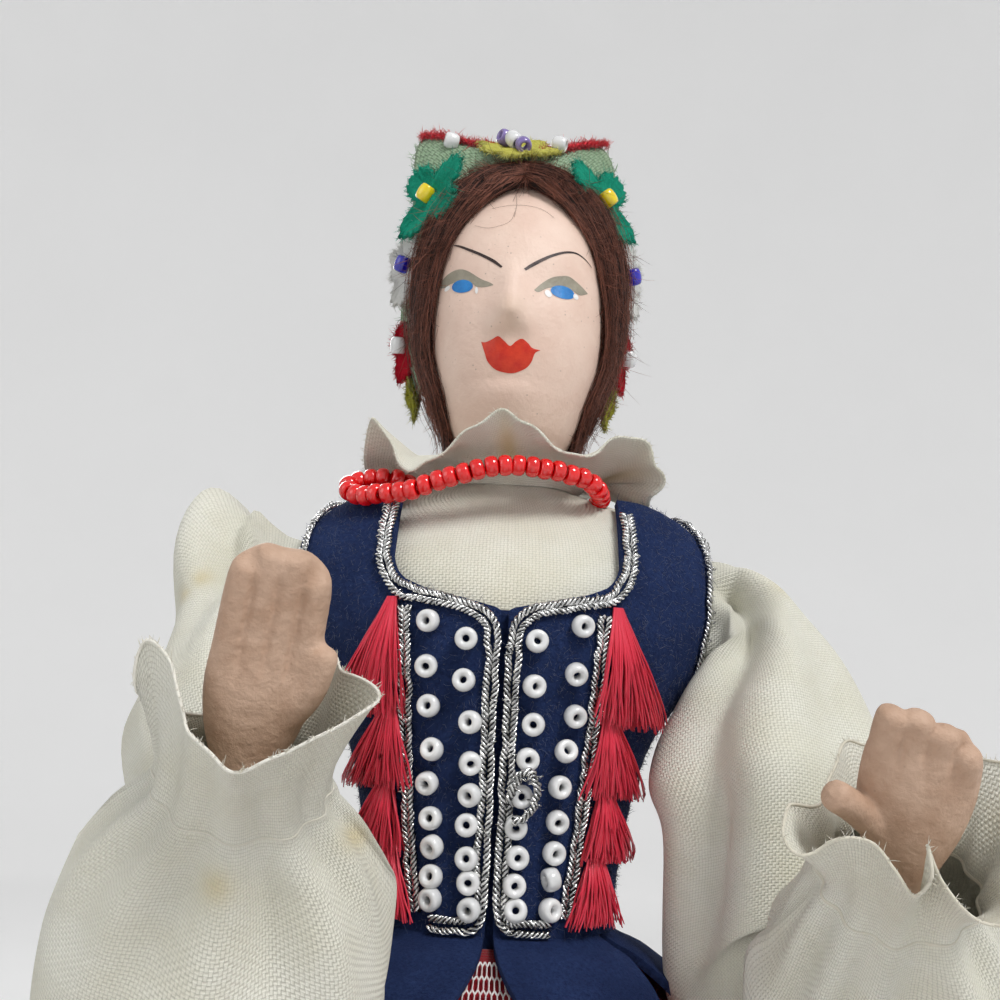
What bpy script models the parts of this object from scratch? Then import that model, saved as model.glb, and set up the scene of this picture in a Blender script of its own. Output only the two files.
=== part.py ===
"""Folk costume doll: a composition head and hands on a wire-armed cloth body, dressed in a
beaded felt vest, full blouse, pleated skirt with an apron, and a flower headband.

Sizes are millimetres, scaled to metres where meshes are made. The doll faces -Y and stands
on z = 0; +X is the viewer's right.
"""

import math

import bmesh
import bpy
from mathutils import Matrix, Vector

MM = 0.001
WELD = 1e-6
TURN = 2 * math.pi

# The figure's axis stands behind the origin, so that the raised hands and the skirt balance.
FIGURE_PLACE = (0.0, 7.2, 0.0)

# Body heights that the clothes follow.
WAIST_Z = 160.0
HEM_Z = 30.0
NECK_Z = 221.0
SHOULDER = (34.0, 1.5, 205.0)

# Cloth and felt layers, as distances from the stuffed body.
BLOUSE_MIDDLE, BLOUSE_THICK = 0.85, 0.7
VEST_MIDDLE, VEST_THICK = 2.3, 1.1
VEST_OUTER = VEST_MIDDLE + VEST_THICK / 2
GAP = 0.4
# Clearance of the head on its peg, and of the arms' hubs on the shoulder wire.
RUNNING = 0.15
CLOTH_THICK = 0.8

# Stuffed body, hips to neck: height, half width, front depth, back depth.
BODY = [
    (140, 19, 13, 14),
    (150, 17.5, 13, 13),
    (160, 14.5, 12, 11.5),
    (172, 15.5, 12.5, 11.5),
    (185, 19, 15, 12),
    (196, 26, 17.5, 12.5),
    (204, 29, 16.8, 12.5),
    (211, 28.5, 13.5, 12),
    (216, 23, 10.5, 10.5),
    (219, 14, 8.5, 9.5),
    (221, 8.5, 7.5, 8.5),
    (226, 7, 7, 7.5),
]

# Head, neck stub to crown: height, half width, front depth, back depth.
HEAD = [
    (227.5, 8.0, 7.8, 7.6),
    (230, 9.2, 9.4, 8.4),
    (235, 11.2, 11.8, 10.6),
    (240, 12.8, 13.6, 12.8),
    (246, 13.8, 14.5, 14.4),
    (252, 14.1, 14.5, 15.3),
    (258, 13.8, 13.8, 15.5),
    (264, 12.5, 11.9, 14.5),
    (269, 9.8, 8.9, 11.7),
    (272.6, 5.5, 5, 6.9),
    (274, 0, 0, 0),
]

# Wig over the head, nape to crown: height, half width, front depth, back depth.
WIG = [
    (231, 10.6, 4.4, 13.8),
    (236, 13.4, 6.6, 16.2),
    (244, 16.4, 8.6, 18.2),
    (252, 17.6, 10.2, 19.0),
    (260, 17.4, 11.4, 18.8),
    (267, 15.6, 12.2, 16.8),
    (272.5, 11.8, 10, 12.8),
    (275.8, 6.4, 5.8, 7.2),
    (277, 0, 0, 0),
]
# Half of the hair's edge round the face, crown parting to jaw: x, z.
HAIRLINE = [(0, 268.6), (5.8, 265), (10.8, 259), (13.0, 250), (13.1, 242), (10.8, 234.5), (9.4, 226)]

# Headband of stiff cloth round the head, over the crown from tip to tip.
# Half of each edge, tip to crown: x, y, z of the edge on the hair, and of the flared outer edge.
BAND_INNER = [
    (15.2, 3, 238),
    (17.2, 2, 247),
    (17.2, -1, 258),
    (14.0, -4.4, 268),
    (8.6, -5.6, 273.6),
    (0, -5.8, 276.6),
]
BAND_OUTER = [
    (15.8, 7, 236.5),
    (18.8, 6.4, 247),
    (19.2, 3.6, 259),
    (17.9, -0.4, 271),
    (16.2, -1.4, 284.6),
    (0, -1.6, 281.4),
]
# The band leans a little to the doll's right above this height.
BAND_LEAN, BAND_LEAN_FROM = -0.09, 262.0
BAND_THICK = 1.0

# Skirt from waist to hem: height, radius. Its depth is a little less than its width.
SKIRT = [(158.6, 16.7), (150, 26), (136, 33), (112, 40), (76, 48), (HEM_Z, 56)]
SKIRT_DEPTH = 0.87
SKIRT_FOLDS = 14
HEM_FOLD = 3.4

# Arm places on the doll's own right (-X) and left (+X): elbow, wrist, hand direction.
ARMS = {
    "right": {
        "side": -1,
        "elbow": (-29.5, -24, 163),
        "wrist": (-24.5, -50, 179.5),
        "hand": (0.18, -0.43, 0.88),
        "palm": (0.15, -0.88, -0.45),
        "thumb": [(3.0, 5.5, 1.0), (4.5, 9.0, 1.9), (5.0, 12.4, 2.3)],
        "finger_reach": 1.2,
        "puff": 0.0,
        "fullness": 1.08,
        "hang": 0.9,
    },
    "left": {
        "side": 1,
        "elbow": (37, -21, 157),
        "wrist": (38, -49.5, 173.5),
        "hand": (0.12, -0.52, 0.85),
        "palm": (-0.2, -0.84, -0.5),
        "thumb": [(3.1, 4.8, 0.9), (5.5, 8.2, 2.15), (7.2, 10.6, 3.3)],
        "finger_reach": 0.6,
        "puff": -3.0,
        "fullness": 0.86,
        "hang": 0.86,
    },
}

MATERIALS = {
    "painted_composition": ((0.80, 0.60, 0.50), 0.55, 0.0),
    "hand_composition": ((0.58, 0.40, 0.30), 0.55, 0.0),
    "mohair": ((0.055, 0.025, 0.02), 0.7, 0.0),
    "cream_cotton": ((0.80, 0.77, 0.66), 0.9, 0.0),
    "stuffed_muslin": ((0.70, 0.62, 0.50), 0.9, 0.0),
    "navy_felt": ((0.02, 0.03, 0.12), 0.95, 0.0),
    "silver_braid": ((0.72, 0.72, 0.72), 0.3, 0.9),
    "red_silk": ((0.75, 0.03, 0.09), 0.5, 0.0),
    "red_cotton": ((0.45, 0.01, 0.03), 0.9, 0.0),
    "white_lace": ((0.85, 0.80, 0.78), 0.9, 0.0),
    "red_glass": ((0.75, 0.005, 0.005), 0.15, 0.0),
    "green_cloth": ((0.22, 0.36, 0.22), 0.9, 0.0),
    "red_chenille": ((0.55, 0.01, 0.03), 0.9, 0.0),
    "teal_felt": ((0.0, 0.26, 0.19), 0.95, 0.0),
    "yellow_felt": ((0.70, 0.62, 0.03), 0.95, 0.0),
    "white_felt": ((0.75, 0.76, 0.72), 0.95, 0.0),
    "olive_felt": ((0.36, 0.36, 0.05), 0.95, 0.0),
    "boot_paint": ((0.02, 0.02, 0.022), 0.35, 0.0),
    "leg_paint": ((0.80, 0.62, 0.52), 0.6, 0.0),
    "steel_wire": ((0.55, 0.55, 0.55), 0.4, 1.0),
    "turned_wood": ((0.55, 0.38, 0.20), 0.6, 0.0),
}


# Scene, collections and materials


def clear_scene():
    for obj in list(bpy.data.objects):
        bpy.data.objects.remove(obj)


def collection(name):
    made = bpy.data.collections.new(name)
    bpy.context.scene.collection.children.link(made)
    return made


def material(name):
    if name in bpy.data.materials:
        return bpy.data.materials[name]
    colour, roughness, metallic = MATERIALS[name]
    made = bpy.data.materials.new(name)
    made.use_nodes = True
    shader = made.node_tree.nodes["Principled BSDF"]
    shader.inputs["Base Color"].default_value = (*colour, 1)
    shader.inputs["Roughness"].default_value = roughness
    shader.inputs["Metallic"].default_value = metallic
    made.diffuse_color = (*colour, 1)
    return made


clear_scene()
PARTS = collection("folk_costume_doll")
CUTTERS = collection("cutters")


def pivot(name, place, parent=None):
    """An empty at a joint, or at the figure's axis; place is in the doll's frame."""
    empty = bpy.data.objects.new(name, None)
    PARTS.objects.link(empty)
    empty["place"] = place
    if parent is None:
        empty.location = Vector(place) * MM
    else:
        empty.parent = parent
        start = Vector(parent["place"]) if parent.parent else Vector((0, 0, 0))
        empty.location = (Vector(place) - start) * MM
    return empty


def part(name, mesh, material_name, carrier):
    """A mesh in the doll's frame becomes a piece whose origin is on its carrier's axis."""
    start = Vector(carrier["place"]) if carrier.parent else Vector((0, 0, 0))
    mesh.transform(Matrix.Translation(-start * MM))
    obj = bpy.data.objects.new(name, mesh)
    PARTS.objects.link(obj)
    obj.parent = carrier
    mesh.materials.append(material(material_name))
    mesh.shade_smooth()
    mesh.set_sharp_from_angle(angle=math.radians(50))
    return obj


def helper(name, mesh):
    """A cutter, or a shape that a union takes in; it isn't a piece by itself."""
    obj = bpy.data.objects.new(name, mesh)
    CUTTERS.objects.link(obj)
    obj.parent = FIGURE
    obj.hide_render = True
    obj.display_type = "WIRE"
    obj.modifiers.new("triangles", "TRIANGULATE")
    return obj


def boolean(obj, others, operation="DIFFERENCE"):
    """Cut or join with all of the others at once; faces are made flat first, to keep it sound."""
    obj.modifiers.new("triangles", "TRIANGULATE")
    modifier = obj.modifiers.new(operation.lower(), "BOOLEAN")
    modifier.operation = operation
    if len(others) == 1:
        modifier.object = others[0]
        return
    group = bpy.data.collections.new(f"{obj.name}_{operation.lower()}")
    CUTTERS.children.link(group)
    for other in others:
        group.objects.link(other)
    modifier.operand_type = "COLLECTION"
    modifier.collection = group


def thicken(obj, thickness):
    modifier = obj.modifiers.new("cloth", "SOLIDIFY")
    modifier.thickness = thickness * MM
    modifier.offset = 0
    modifier.use_even_offset = False


# Curves and surfaces from formulas


def along(rows, t):
    """A smooth curve through rows of numbers, by Catmull-Rom; t runs from 0 to 1."""
    place = min(max(t, 0.0), 1.0) * (len(rows) - 1)
    index = min(int(place), len(rows) - 2)
    f = place - index
    before, start = rows[max(index - 1, 0)], rows[index]
    end, after = rows[index + 1], rows[min(index + 2, len(rows) - 1)]
    return tuple(
        0.5 * (2 * b + (c - a) * f + (2 * a - 5 * b + 4 * c - d) * f * f + (3 * b - a - 3 * c + d) * f**3)
        for a, b, c, d in zip(before, start, end, after)
    )


def where(rows, z):
    """The t at which a curve of rows, each starting with a height, passes the height z."""
    low, high = 0.0, 1.0
    rising = rows[-1][0] > rows[0][0]
    for _ in range(30):
        middle = (low + high) / 2
        if (along(rows, middle)[0] < z) == rising:
            low = middle
        else:
            high = middle
    return (low + high) / 2


def surface(name, point, around, rows, closed=True):
    """A grid bent by point(u, v); welded where its edges meet, and capped flat if closed."""
    bm = bmesh.new()
    bmesh.ops.create_grid(bm, x_segments=around, y_segments=rows, size=0.5)
    for vert in bm.verts:
        vert.co = Vector(point(vert.co.x + 0.5, vert.co.y + 0.5)) * MM
    bmesh.ops.remove_doubles(bm, verts=bm.verts, dist=WELD)
    if closed:
        bmesh.ops.holes_fill(bm, edges=bm.edges)
    bmesh.ops.recalc_face_normals(bm, faces=bm.faces)
    mesh = bpy.data.meshes.new(name)
    bm.to_mesh(mesh)
    bm.free()
    return mesh


def oval(rows, t, angle, grow=0.0):
    """A point on a lofted form of ovals; angle 0 is the front, and grow swells the form."""
    z, half_width, front, back = along(rows, t)
    x = (half_width + grow) * math.sin(angle)
    y = -((front if math.cos(angle) > 0 else back) + grow) * math.cos(angle)
    return Vector((x, y, z))


def off_body(t, angle, distance):
    """A point at a distance outside the stuffed body, along the body's own normal."""
    step = 1e-3
    here = oval(BODY, t, angle)
    round_way = oval(BODY, t, angle + step) - oval(BODY, t, angle - step)
    up_way = oval(BODY, min(t + step, 1), angle) - oval(BODY, max(t - step, 0), angle)
    return here + round_way.cross(up_way).normalized() * distance


def on_front(x, z, distance):
    """The point over the front of the body that is seen at x, z from straight ahead."""
    seek_x, seek_z = x, z
    for _ in range(12):
        t = where(BODY, seek_z)
        half_width = along(BODY, t)[1]
        angle = math.asin(max(-0.99, min(0.99, seek_x / half_width)))
        found = off_body(t, angle, distance)
        seek_x += x - found.x
        seek_z += z - found.z
    return found


def limb(stations, t, angle, grow=0.0):
    """A point on a swelling tube: each station is a centre, its half width, and its half depth
    above and below; the tube's upper side is at angle 0."""
    x, y, z, wide, up, down = along(stations, t)
    ahead = Vector(along(stations, t + 0.01)[:3]) - Vector(along(stations, t - 0.01)[:3])
    ahead.normalize()
    side = Vector((1, 0, 0)) - ahead * ahead.x
    side.normalize()
    top = side.cross(ahead)
    deep = up if math.cos(angle) > 0 else down
    shrink = 1.0 if wide > 0.01 else 0.0
    reach = side * (wide + grow) * math.sin(angle) + top * (deep + grow) * math.cos(angle)
    return Vector((x, y, z)) + reach * shrink


def tube_mesh(name, points, radius, radii=None, cyclic=False, resolution=1):
    """A closed tube along points, made as a bevelled curve and read back as a welded mesh."""
    data = bpy.data.curves.new(name, "CURVE")
    data.dimensions = "3D"
    data.bevel_depth = radius * MM
    data.bevel_resolution = resolution
    data.use_fill_caps = True
    spline = data.splines.new("POLY")
    spline.points.add(len(points) - 1)
    for index, (place, knot) in enumerate(zip(points, spline.points)):
        knot.co = (*(Vector(place) * MM), 1)
        knot.radius = radii[index] if radii else 1.0
    spline.use_cyclic_u = cyclic
    guide = bpy.data.objects.new(name, data)
    CUTTERS.objects.link(guide)
    graph = bpy.context.evaluated_depsgraph_get()
    mesh = bpy.data.meshes.new_from_object(guide.evaluated_get(graph))
    bpy.data.objects.remove(guide)
    bm = bmesh.new()
    bm.from_mesh(mesh)
    bmesh.ops.remove_doubles(bm, verts=bm.verts, dist=WELD)
    bmesh.ops.recalc_face_normals(bm, faces=bm.faces)
    bm.to_mesh(mesh)
    bm.free()
    mesh.materials.clear()
    return mesh


def ball_mesh(name, centre, radius, segments=10, rings=7, stretch=(1, 1, 1)):
    bm = bmesh.new()
    bmesh.ops.create_uvsphere(bm, u_segments=segments, v_segments=rings, radius=radius * MM)
    bmesh.ops.scale(bm, vec=Vector(stretch), verts=bm.verts)
    bmesh.ops.translate(bm, vec=Vector(centre) * MM, verts=bm.verts)
    mesh = bpy.data.meshes.new(name)
    bm.to_mesh(mesh)
    bm.free()
    return mesh


def rod_mesh(name, start, end, radius, end_radius=None, segments=12):
    """A straight round rod between two points."""
    start, end = Vector(start), Vector(end)
    aim = (end - start).to_track_quat("Z", "Y").to_matrix().to_4x4()
    matrix = Matrix.Translation((start + end) / 2 * MM) @ aim
    bm = bmesh.new()
    bmesh.ops.create_cone(
        bm,
        cap_ends=True,
        segments=segments,
        radius1=radius * MM,
        radius2=(radius if end_radius is None else end_radius) * MM,
        depth=(end - start).length * MM,
        matrix=matrix,
    )
    mesh = bpy.data.meshes.new(name)
    bm.to_mesh(mesh)
    bm.free()
    return mesh


def prism_mesh(name, outline, y_from, y_to):
    """A flat outline of x, z points, drawn through from one y to another."""
    bm = bmesh.new()
    front = [bm.verts.new(Vector((x, y_from, z)) * MM) for x, z in outline]
    face = bm.faces.new(front)
    drawn = bmesh.ops.extrude_face_region(bm, geom=[face])
    moved = [item for item in drawn["geom"] if isinstance(item, bmesh.types.BMVert)]
    bmesh.ops.translate(bm, vec=Vector((0, (y_to - y_from) * MM, 0)), verts=moved)
    bmesh.ops.recalc_face_normals(bm, faces=bm.faces)
    mesh = bpy.data.meshes.new(name)
    bm.to_mesh(mesh)
    bm.free()
    return mesh


def box_mesh(name, low, high):
    bm = bmesh.new()
    bmesh.ops.create_cube(bm, size=1)
    low, high = Vector(low), Vector(high)
    for vert in bm.verts:
        share = vert.co + Vector((0.5, 0.5, 0.5))
        vert.co = Vector(a + (b - a) * s for a, b, s in zip(low, high, share)) * MM
    mesh = bpy.data.meshes.new(name)
    bm.to_mesh(mesh)
    bm.free()
    return mesh


# Joints: empties that the moving pieces hang on

FIGURE = pivot("figure_axis", FIGURE_PLACE)
HEAD_PIVOT = pivot("head_pivot", (0, 0, NECK_Z), FIGURE)
for arm_name, arm in ARMS.items():
    shoulder_place = (SHOULDER[0] * arm["side"], SHOULDER[1], SHOULDER[2])
    arm["shoulder"] = shoulder_place
    arm["shoulder_pivot"] = pivot(arm_name + "_shoulder_pivot", shoulder_place, FIGURE)
    arm["elbow_pivot"] = pivot(arm_name + "_elbow_pivot", arm["elbow"], arm["shoulder_pivot"])


# Stuffed body, neck peg and the wire across the shoulders

NECK_PEG_RADIUS = 3.0
WIRE_RADIUS = 1.5


def build_torso():
    torso = part(
        "torso", surface("torso", lambda u, v: oval(BODY, v, TURN * u), 16, 11), "stuffed_muslin", FIGURE
    )
    peg_socket = rod_mesh("peg_socket", (0, 0, 209), (0, 0, 230), NECK_PEG_RADIUS + GAP)
    across = [(-60, *SHOULDER[1:]), (60, *SHOULDER[1:])]
    wire_bore = rod_mesh("wire_bore", *across, WIRE_RADIUS + GAP)
    boolean(torso, [helper("peg_socket", peg_socket), helper("wire_bore", wire_bore)])
    part("neck_peg", rod_mesh("neck_peg", (0, 0, 209.5), (0, 0, 243), NECK_PEG_RADIUS), "turned_wood", FIGURE)
    ends = [(-39.5, *SHOULDER[1:]), (39.5, *SHOULDER[1:])]
    part("shoulder_wire", rod_mesh("shoulder_wire", *ends, WIRE_RADIUS), "steel_wire", FIGURE)


# Blouse body, collar and necklace

ARMHOLE = {"y": 1.5, "z": 203.5, "half_depth": 8.5, "half_height": 11.0, "from_x": 18.0}
COLLAR_WAVES = 6


def armhole_cutter(side):
    def point(u, v):
        x = side * (ARMHOLE["from_x"] + 30 * v)
        y = ARMHOLE["y"] + ARMHOLE["half_depth"] * math.sin(TURN * u)
        z = ARMHOLE["z"] + ARMHOLE["half_height"] * math.cos(TURN * u)
        return (x, y, z)

    name = "armhole_cutter_" + ("left" if side > 0 else "right")
    return helper(name, surface(name, point, 16, 1))


def body_shell(name, low_z, high_z, middle, rows):
    """A tube of cloth round the body between two heights, as an open sheet."""
    t_low, t_high = where(BODY, low_z), where(BODY, high_z)

    def point(u, v):
        return off_body(t_low + (t_high - t_low) * v, TURN * u, middle)

    return surface(name, point, 20, rows, closed=False)


def build_blouse(armholes):
    blouse = part("blouse", body_shell("blouse", 159.5, 220.6, BLOUSE_MIDDLE, 8), "cream_cotton", FIGURE)
    thicken(blouse, BLOUSE_THICK)
    boolean(blouse, armholes)


def collar_point(u, v):
    """The ruffle stands out from the neck in waves that grow towards its edge."""
    angle = TURN * u
    wave = math.cos(COLLAR_WAVES * angle + 0.5)
    radius = 9.6 + 10.4 * v + 1.6 * v * math.cos(COLLAR_WAVES * angle + 2.2)
    z = 223.0 + 3.9 * v**0.8 + 2.3 * v * v * wave
    return (radius * math.sin(angle), -0.92 * radius * math.cos(angle), z)


def build_collar():
    mesh = surface("collar_ruffle", collar_point, 36, 2, closed=False)
    collar = part("collar_ruffle", mesh, "cream_cotton", FIGURE)
    thicken(collar, CLOTH_THICK)


# The strand lies round the neck under the ruffle and droops over the right shoulder.
NECKLACE_ROUTE = [
    (-0.5, -13.6, 221.4),
    (6.6, -12.4, 221.3),
    (12.6, -8, 221.4),
    (15.4, -0.5, 222),
    (13, 9.6, 220.9),
    (0, 13.6, 220.1),
    (-13, 10.2, 221.1),
    (-20, 3.6, 221.5),
    (-23.6, -3.6, 220.9),
    (-19.5, -9.6, 219.7),
    (-10.5, -12.8, 219.6),
]
NECKLACE_BEADS = 58
BEAD_RADIUS = 1.5
BEAD_WAIST = 0.55


def build_necklace():
    """One closed strand: each glass bead is a swelling of the strand, pinched between beads."""
    route = NECKLACE_ROUTE[-1:] + NECKLACE_ROUTE + NECKLACE_ROUTE[:2]
    inner = len(NECKLACE_ROUTE)
    fine = [along(route, (1 + inner * k / 600) / (len(route) - 1)) for k in range(600)]
    lengths = [0.0]
    for a, b in zip(fine, fine[1:] + fine[:1]):
        lengths.append(lengths[-1] + (Vector(b) - Vector(a)).length)
    points, radii = [], []
    for k in range(2 * NECKLACE_BEADS):
        reach = lengths[-1] * k / (2 * NECKLACE_BEADS)
        index = next(i for i in range(600) if lengths[i + 1] >= reach)
        points.append(fine[index])
        radii.append(1.0 if k % 2 else BEAD_WAIST)
    mesh = tube_mesh("necklace", points, BEAD_RADIUS, radii, cyclic=True, resolution=0)
    part("necklace", mesh, "red_glass", FIGURE)


# Felt vest: two fronts and a back, with peplum tabs, silver braid and silk tassels

VEST_TOP_Z = 216.8
NECKLINE_HALF, NECKLINE_Z, NECKLINE_CORNER = 15.8, 200.4, 6.6
FRONT_OPENING = 0.5
SEAM_GAP = 0.4
SIDE_SEAM_Y = 2.6


def neckline_outline():
    """A square neckline with round lower corners, open at the top."""
    points = [(NECKLINE_HALF, 240), (-NECKLINE_HALF, 240)]
    for side in (-1, 1):
        for step in range(5):
            turn = math.pi / 2 * step / 4
            share = turn if side < 0 else math.pi / 2 - turn
            x = side * (NECKLINE_HALF - NECKLINE_CORNER * (1 - math.cos(share)))
            points.append((x, NECKLINE_Z + NECKLINE_CORNER * (1 - math.sin(share))))
    return points


def build_vest(armholes):
    """One felt shell cut three times: each panel loses the openings and the other panels."""
    neckline = helper("neckline_cutter", prism_mesh("neckline_cutter", neckline_outline(), -40, 0.8))
    far = 60
    front_y, back_y = SIDE_SEAM_Y - SEAM_GAP / 2, SIDE_SEAM_Y + SEAM_GAP / 2
    behind = ((-far, front_y, 140), (far, far, 240))
    panels = {
        "vest_right_front": [behind, ((-FRONT_OPENING, -far, 140), (far, far, 240))],
        "vest_left_front": [behind, ((-far, -far, 140), (FRONT_OPENING, far, 240))],
        "vest_back": [((-far, -far, 140), (far, back_y, 240))],
    }
    for name, cuts in panels.items():
        panel = part(name, body_shell(name, WAIST_Z, VEST_TOP_Z, VEST_MIDDLE, 8), "navy_felt", FIGURE)
        thicken(panel, VEST_THICK)
        boxes = [helper(f"{name}_cut_{k + 1}", box_mesh(name, *cut)) for k, cut in enumerate(cuts)]
        boolean(panel, armholes + [neckline] + boxes)
        if name != "vest_back":
            side = -1 if name == "vest_right_front" else 1
            boolean(panel, [helper(name + "_beads", front_beads_mesh(side))], "UNION")


# Columns of glass beads down each front, top and bottom: x, z. They stand closer lower down.
BEAD_COLUMNS = [((4.5, 195.2), (3.8, 163.3)), ((9.9, 196.4), (7.7, 163.9))]
BEADS_IN_COLUMN = 9


def front_beads_mesh(side):
    """The beads sewn to one front, sunk a little into the felt."""
    bm = bmesh.new()
    for (top_x, top_z), (low_x, low_z) in BEAD_COLUMNS:
        for k in range(BEADS_IN_COLUMN):
            share = k / (BEADS_IN_COLUMN - 1)
            share = 1.2 * share - 0.2 * share * share
            x, z = top_x + (low_x - top_x) * share, top_z + (low_z - top_z) * share
            bead = bmesh.ops.create_uvsphere(bm, u_segments=6, v_segments=3, radius=BEAD_RADIUS * MM)
            place = on_front(side * x, z, VEST_OUTER + 0.6 * BEAD_RADIUS)
            bmesh.ops.translate(bm, vec=place * MM, verts=bead["verts"])
    mesh = bpy.data.meshes.new("front_beads")
    bm.to_mesh(mesh)
    bm.free()
    return mesh


PEPLUM_TABS = 6
TAB_LENGTH, TAB_HALF_TURN = 17.0, math.radians(28)
TAB_STAND_OFF = 4.4


def skirt_point(angle, z, distance=0.0):
    """A point on the pleated skirt, or at a distance outside it; folds deepen to the hem."""
    t = where(SKIRT, z)
    radius = along(SKIRT, t)[1]
    fold = 0.3 + (HEM_FOLD - 0.3) * t
    reach = radius + fold * math.cos(SKIRT_FOLDS * angle + math.pi) + distance
    return Vector((reach * math.sin(angle), -SKIRT_DEPTH * reach * math.cos(angle), z))


def tab_point(middle, u, v):
    """A felt tab under the vest's edge: it flares out over the skirt and ends in a round."""
    half_turn = TAB_HALF_TURN * math.sqrt(max(0.0, 1 - max(0.0, (v - 0.45) / 0.55) ** 2.6))
    angle = middle + half_turn * (2 * u - 1) * (1 - 0.12 * v)
    z = WAIST_Z - GAP - 0.6 - TAB_LENGTH * v
    t = where(SKIRT, min(z, SKIRT[0][0]))
    radius = along(SKIRT, t)[1] + TAB_STAND_OFF * (0.62 + 0.38 * min(1, 3 * v))
    return (radius * math.sin(angle), -SKIRT_DEPTH * radius * math.cos(angle), z)


def build_peplum():
    names = ["front_left", "side_left", "back_left", "back_right", "side_right", "front_right"]
    for index, name in enumerate(names):
        middle = TURN * (index + 0.5) / PEPLUM_TABS
        mesh = surface(
            "peplum", lambda u, v, middle=middle: tab_point(middle, u, v), 6, 5, closed=False
        )
        tab = part("peplum_tab_" + name, mesh, "navy_felt", FIGURE)
        thicken(tab, VEST_THICK)


BRAID_RADIUS = 0.75
# Right half of the front's braid, seen from straight ahead: x, z.
NECKLINE_BRAID = [(17, 216), (17.4, 209), (16.7, 203.6), (13.6, 199.9), (9, 199), (4.4, 198.8), (1.7, 196.4)]
CENTRE_BRAID = [(1.35, 190), (1.3, 180), (1.3, 170), (1.35, 163.6), (2.4, 161.6), (4.4, 161.3), (7.6, 161.3)]
SIDE_BRAID = [(13.4, 197.6), (12.9, 191), (12.4, 183), (11.7, 174), (10.7, 166.5), (10.0, 161.8)]


def braid_mesh(name, line, side, count, distance):
    rows = [along(line, k / (count - 1)) for k in range(count)]
    points = [on_front(side * x, z, distance) for x, z in rows]
    return tube_mesh(name, points, BRAID_RADIUS, resolution=0)


def armhole_braid_mesh(name, side):
    """Braid round the armhole's edge, just outside the felt's outer face."""
    points = []
    for k in range(20):
        turn = math.radians(24) + math.radians(312) * k / 19
        y = ARMHOLE["y"] - (ARMHOLE["half_depth"] + 1.2) * math.sin(turn)
        z = ARMHOLE["z"] - (ARMHOLE["half_height"] + 1.2) * math.cos(turn)
        t = where(BODY, z)
        half_width, front, back = along(BODY, t)[1:]
        deep = (front if y < 0 else back) + VEST_OUTER
        reach = math.sqrt(max(0.05, 1 - min(1, abs(y) / deep) ** 2))
        angle = math.atan2(reach, -y / deep)
        points.append(off_body(t, side * angle, VEST_OUTER + BRAID_RADIUS + GAP))
    return tube_mesh(name, points, BRAID_RADIUS, resolution=0)


def build_braid():
    distance = VEST_OUTER + BRAID_RADIUS + GAP
    for name, side in (("right", -1), ("left", 1)):
        edge = NECKLINE_BRAID + CENTRE_BRAID
        part(name + "_edge_braid", braid_mesh("edge", edge, side, 34, distance), "silver_braid", FIGURE)
        part(name + "_side_braid", braid_mesh("side", SIDE_BRAID, side, 14, distance), "silver_braid", FIGURE)
        part(name + "_armhole_braid", armhole_braid_mesh("armhole", side), "silver_braid", FIGURE)


# Tassels down each side, highest first: x and z of the knot, and x and z of the ends.
TASSELS = [
    (15.9, 198.6, 19.2, 187.2),
    (15.4, 186.8, 17.6, 177.4),
    (14.6, 177.0, 15.9, 169.4),
    (13.6, 169.0, 14.0, 162.0),
]


def tassel_point(side, tassel, u, v):
    """A flattened skein that spreads from its knot and lies on the vest."""
    knot_x, knot_z, end_x, end_z = tassel
    spread = 0.8 + 2.8 * v
    thick = 0.8 + 0.5 * v
    if v in (0.0, 1.0):
        spread = spread * 0.8
        thick = thick * 0.5
    x = knot_x + (end_x - knot_x) * v + spread * math.cos(TURN * u)
    z = knot_z + (end_z - knot_z) * v
    return on_front(side * x, z, VEST_OUTER + GAP + 1.3 + thick * math.sin(TURN * u))


def build_tassels():
    for name, side in (("right", -1), ("left", 1)):
        for index, tassel in enumerate(TASSELS):
            mesh = surface("tassel", lambda u, v, s=side, k=tassel: tassel_point(s, k, u, v), 7, 4)
            part(f"{name}_tassel_{index + 1}", mesh, "red_silk", FIGURE)


# Skirt and apron

APRON_HALF_TURN, APRON_LOW_Z, APRON_HIGH_Z = math.radians(50), 58.0, 157.6
APRON_STAND_OFF = 1.5


def build_skirt():
    top = SKIRT[0][0]
    mesh = surface(
        "skirt", lambda u, v: skirt_point(TURN * u, top + (HEM_Z - top) * v**0.85), 56, 4, closed=False
    )
    thicken(part("skirt", mesh, "red_cotton", FIGURE), CLOTH_THICK)


def build_apron():
    def point(u, v):
        angle = APRON_HALF_TURN * (2 * u - 1)
        z = APRON_HIGH_Z + (APRON_LOW_Z - APRON_HIGH_Z) * v
        return skirt_point(angle, z, APRON_STAND_OFF)

    mesh = surface("apron", point, 18, 5, closed=False)
    thicken(part("apron", mesh, "white_lace", FIGURE), CLOTH_THICK * 0.6)


# Legs and boots

LEG_X = 9.5
LEG = [(141 - 1.5, 7.2), (120, 6.8), (85, 6.2), (58, 5.4), (36, 4.6)]
BOOT_TOP = 48.0
# Boot outline from the side, heel to toe: height, half width, front reach, back reach.
BOOT = [(0, 5.6, 19, 8.6), (2.2, 5.9, 19.6, 8.9), (5.5, 5.9, 18.6, 8.4), (9.5, 5.6, 13.5, 7.6)]
BOOT_SHAFT = [(15, 5.7, 7.6, 7), (24, 5.8, 6.6, 6.6), (36, 6.5, 6.9, 6.9), (BOOT_TOP, 7, 7.2, 7.2)]


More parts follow.
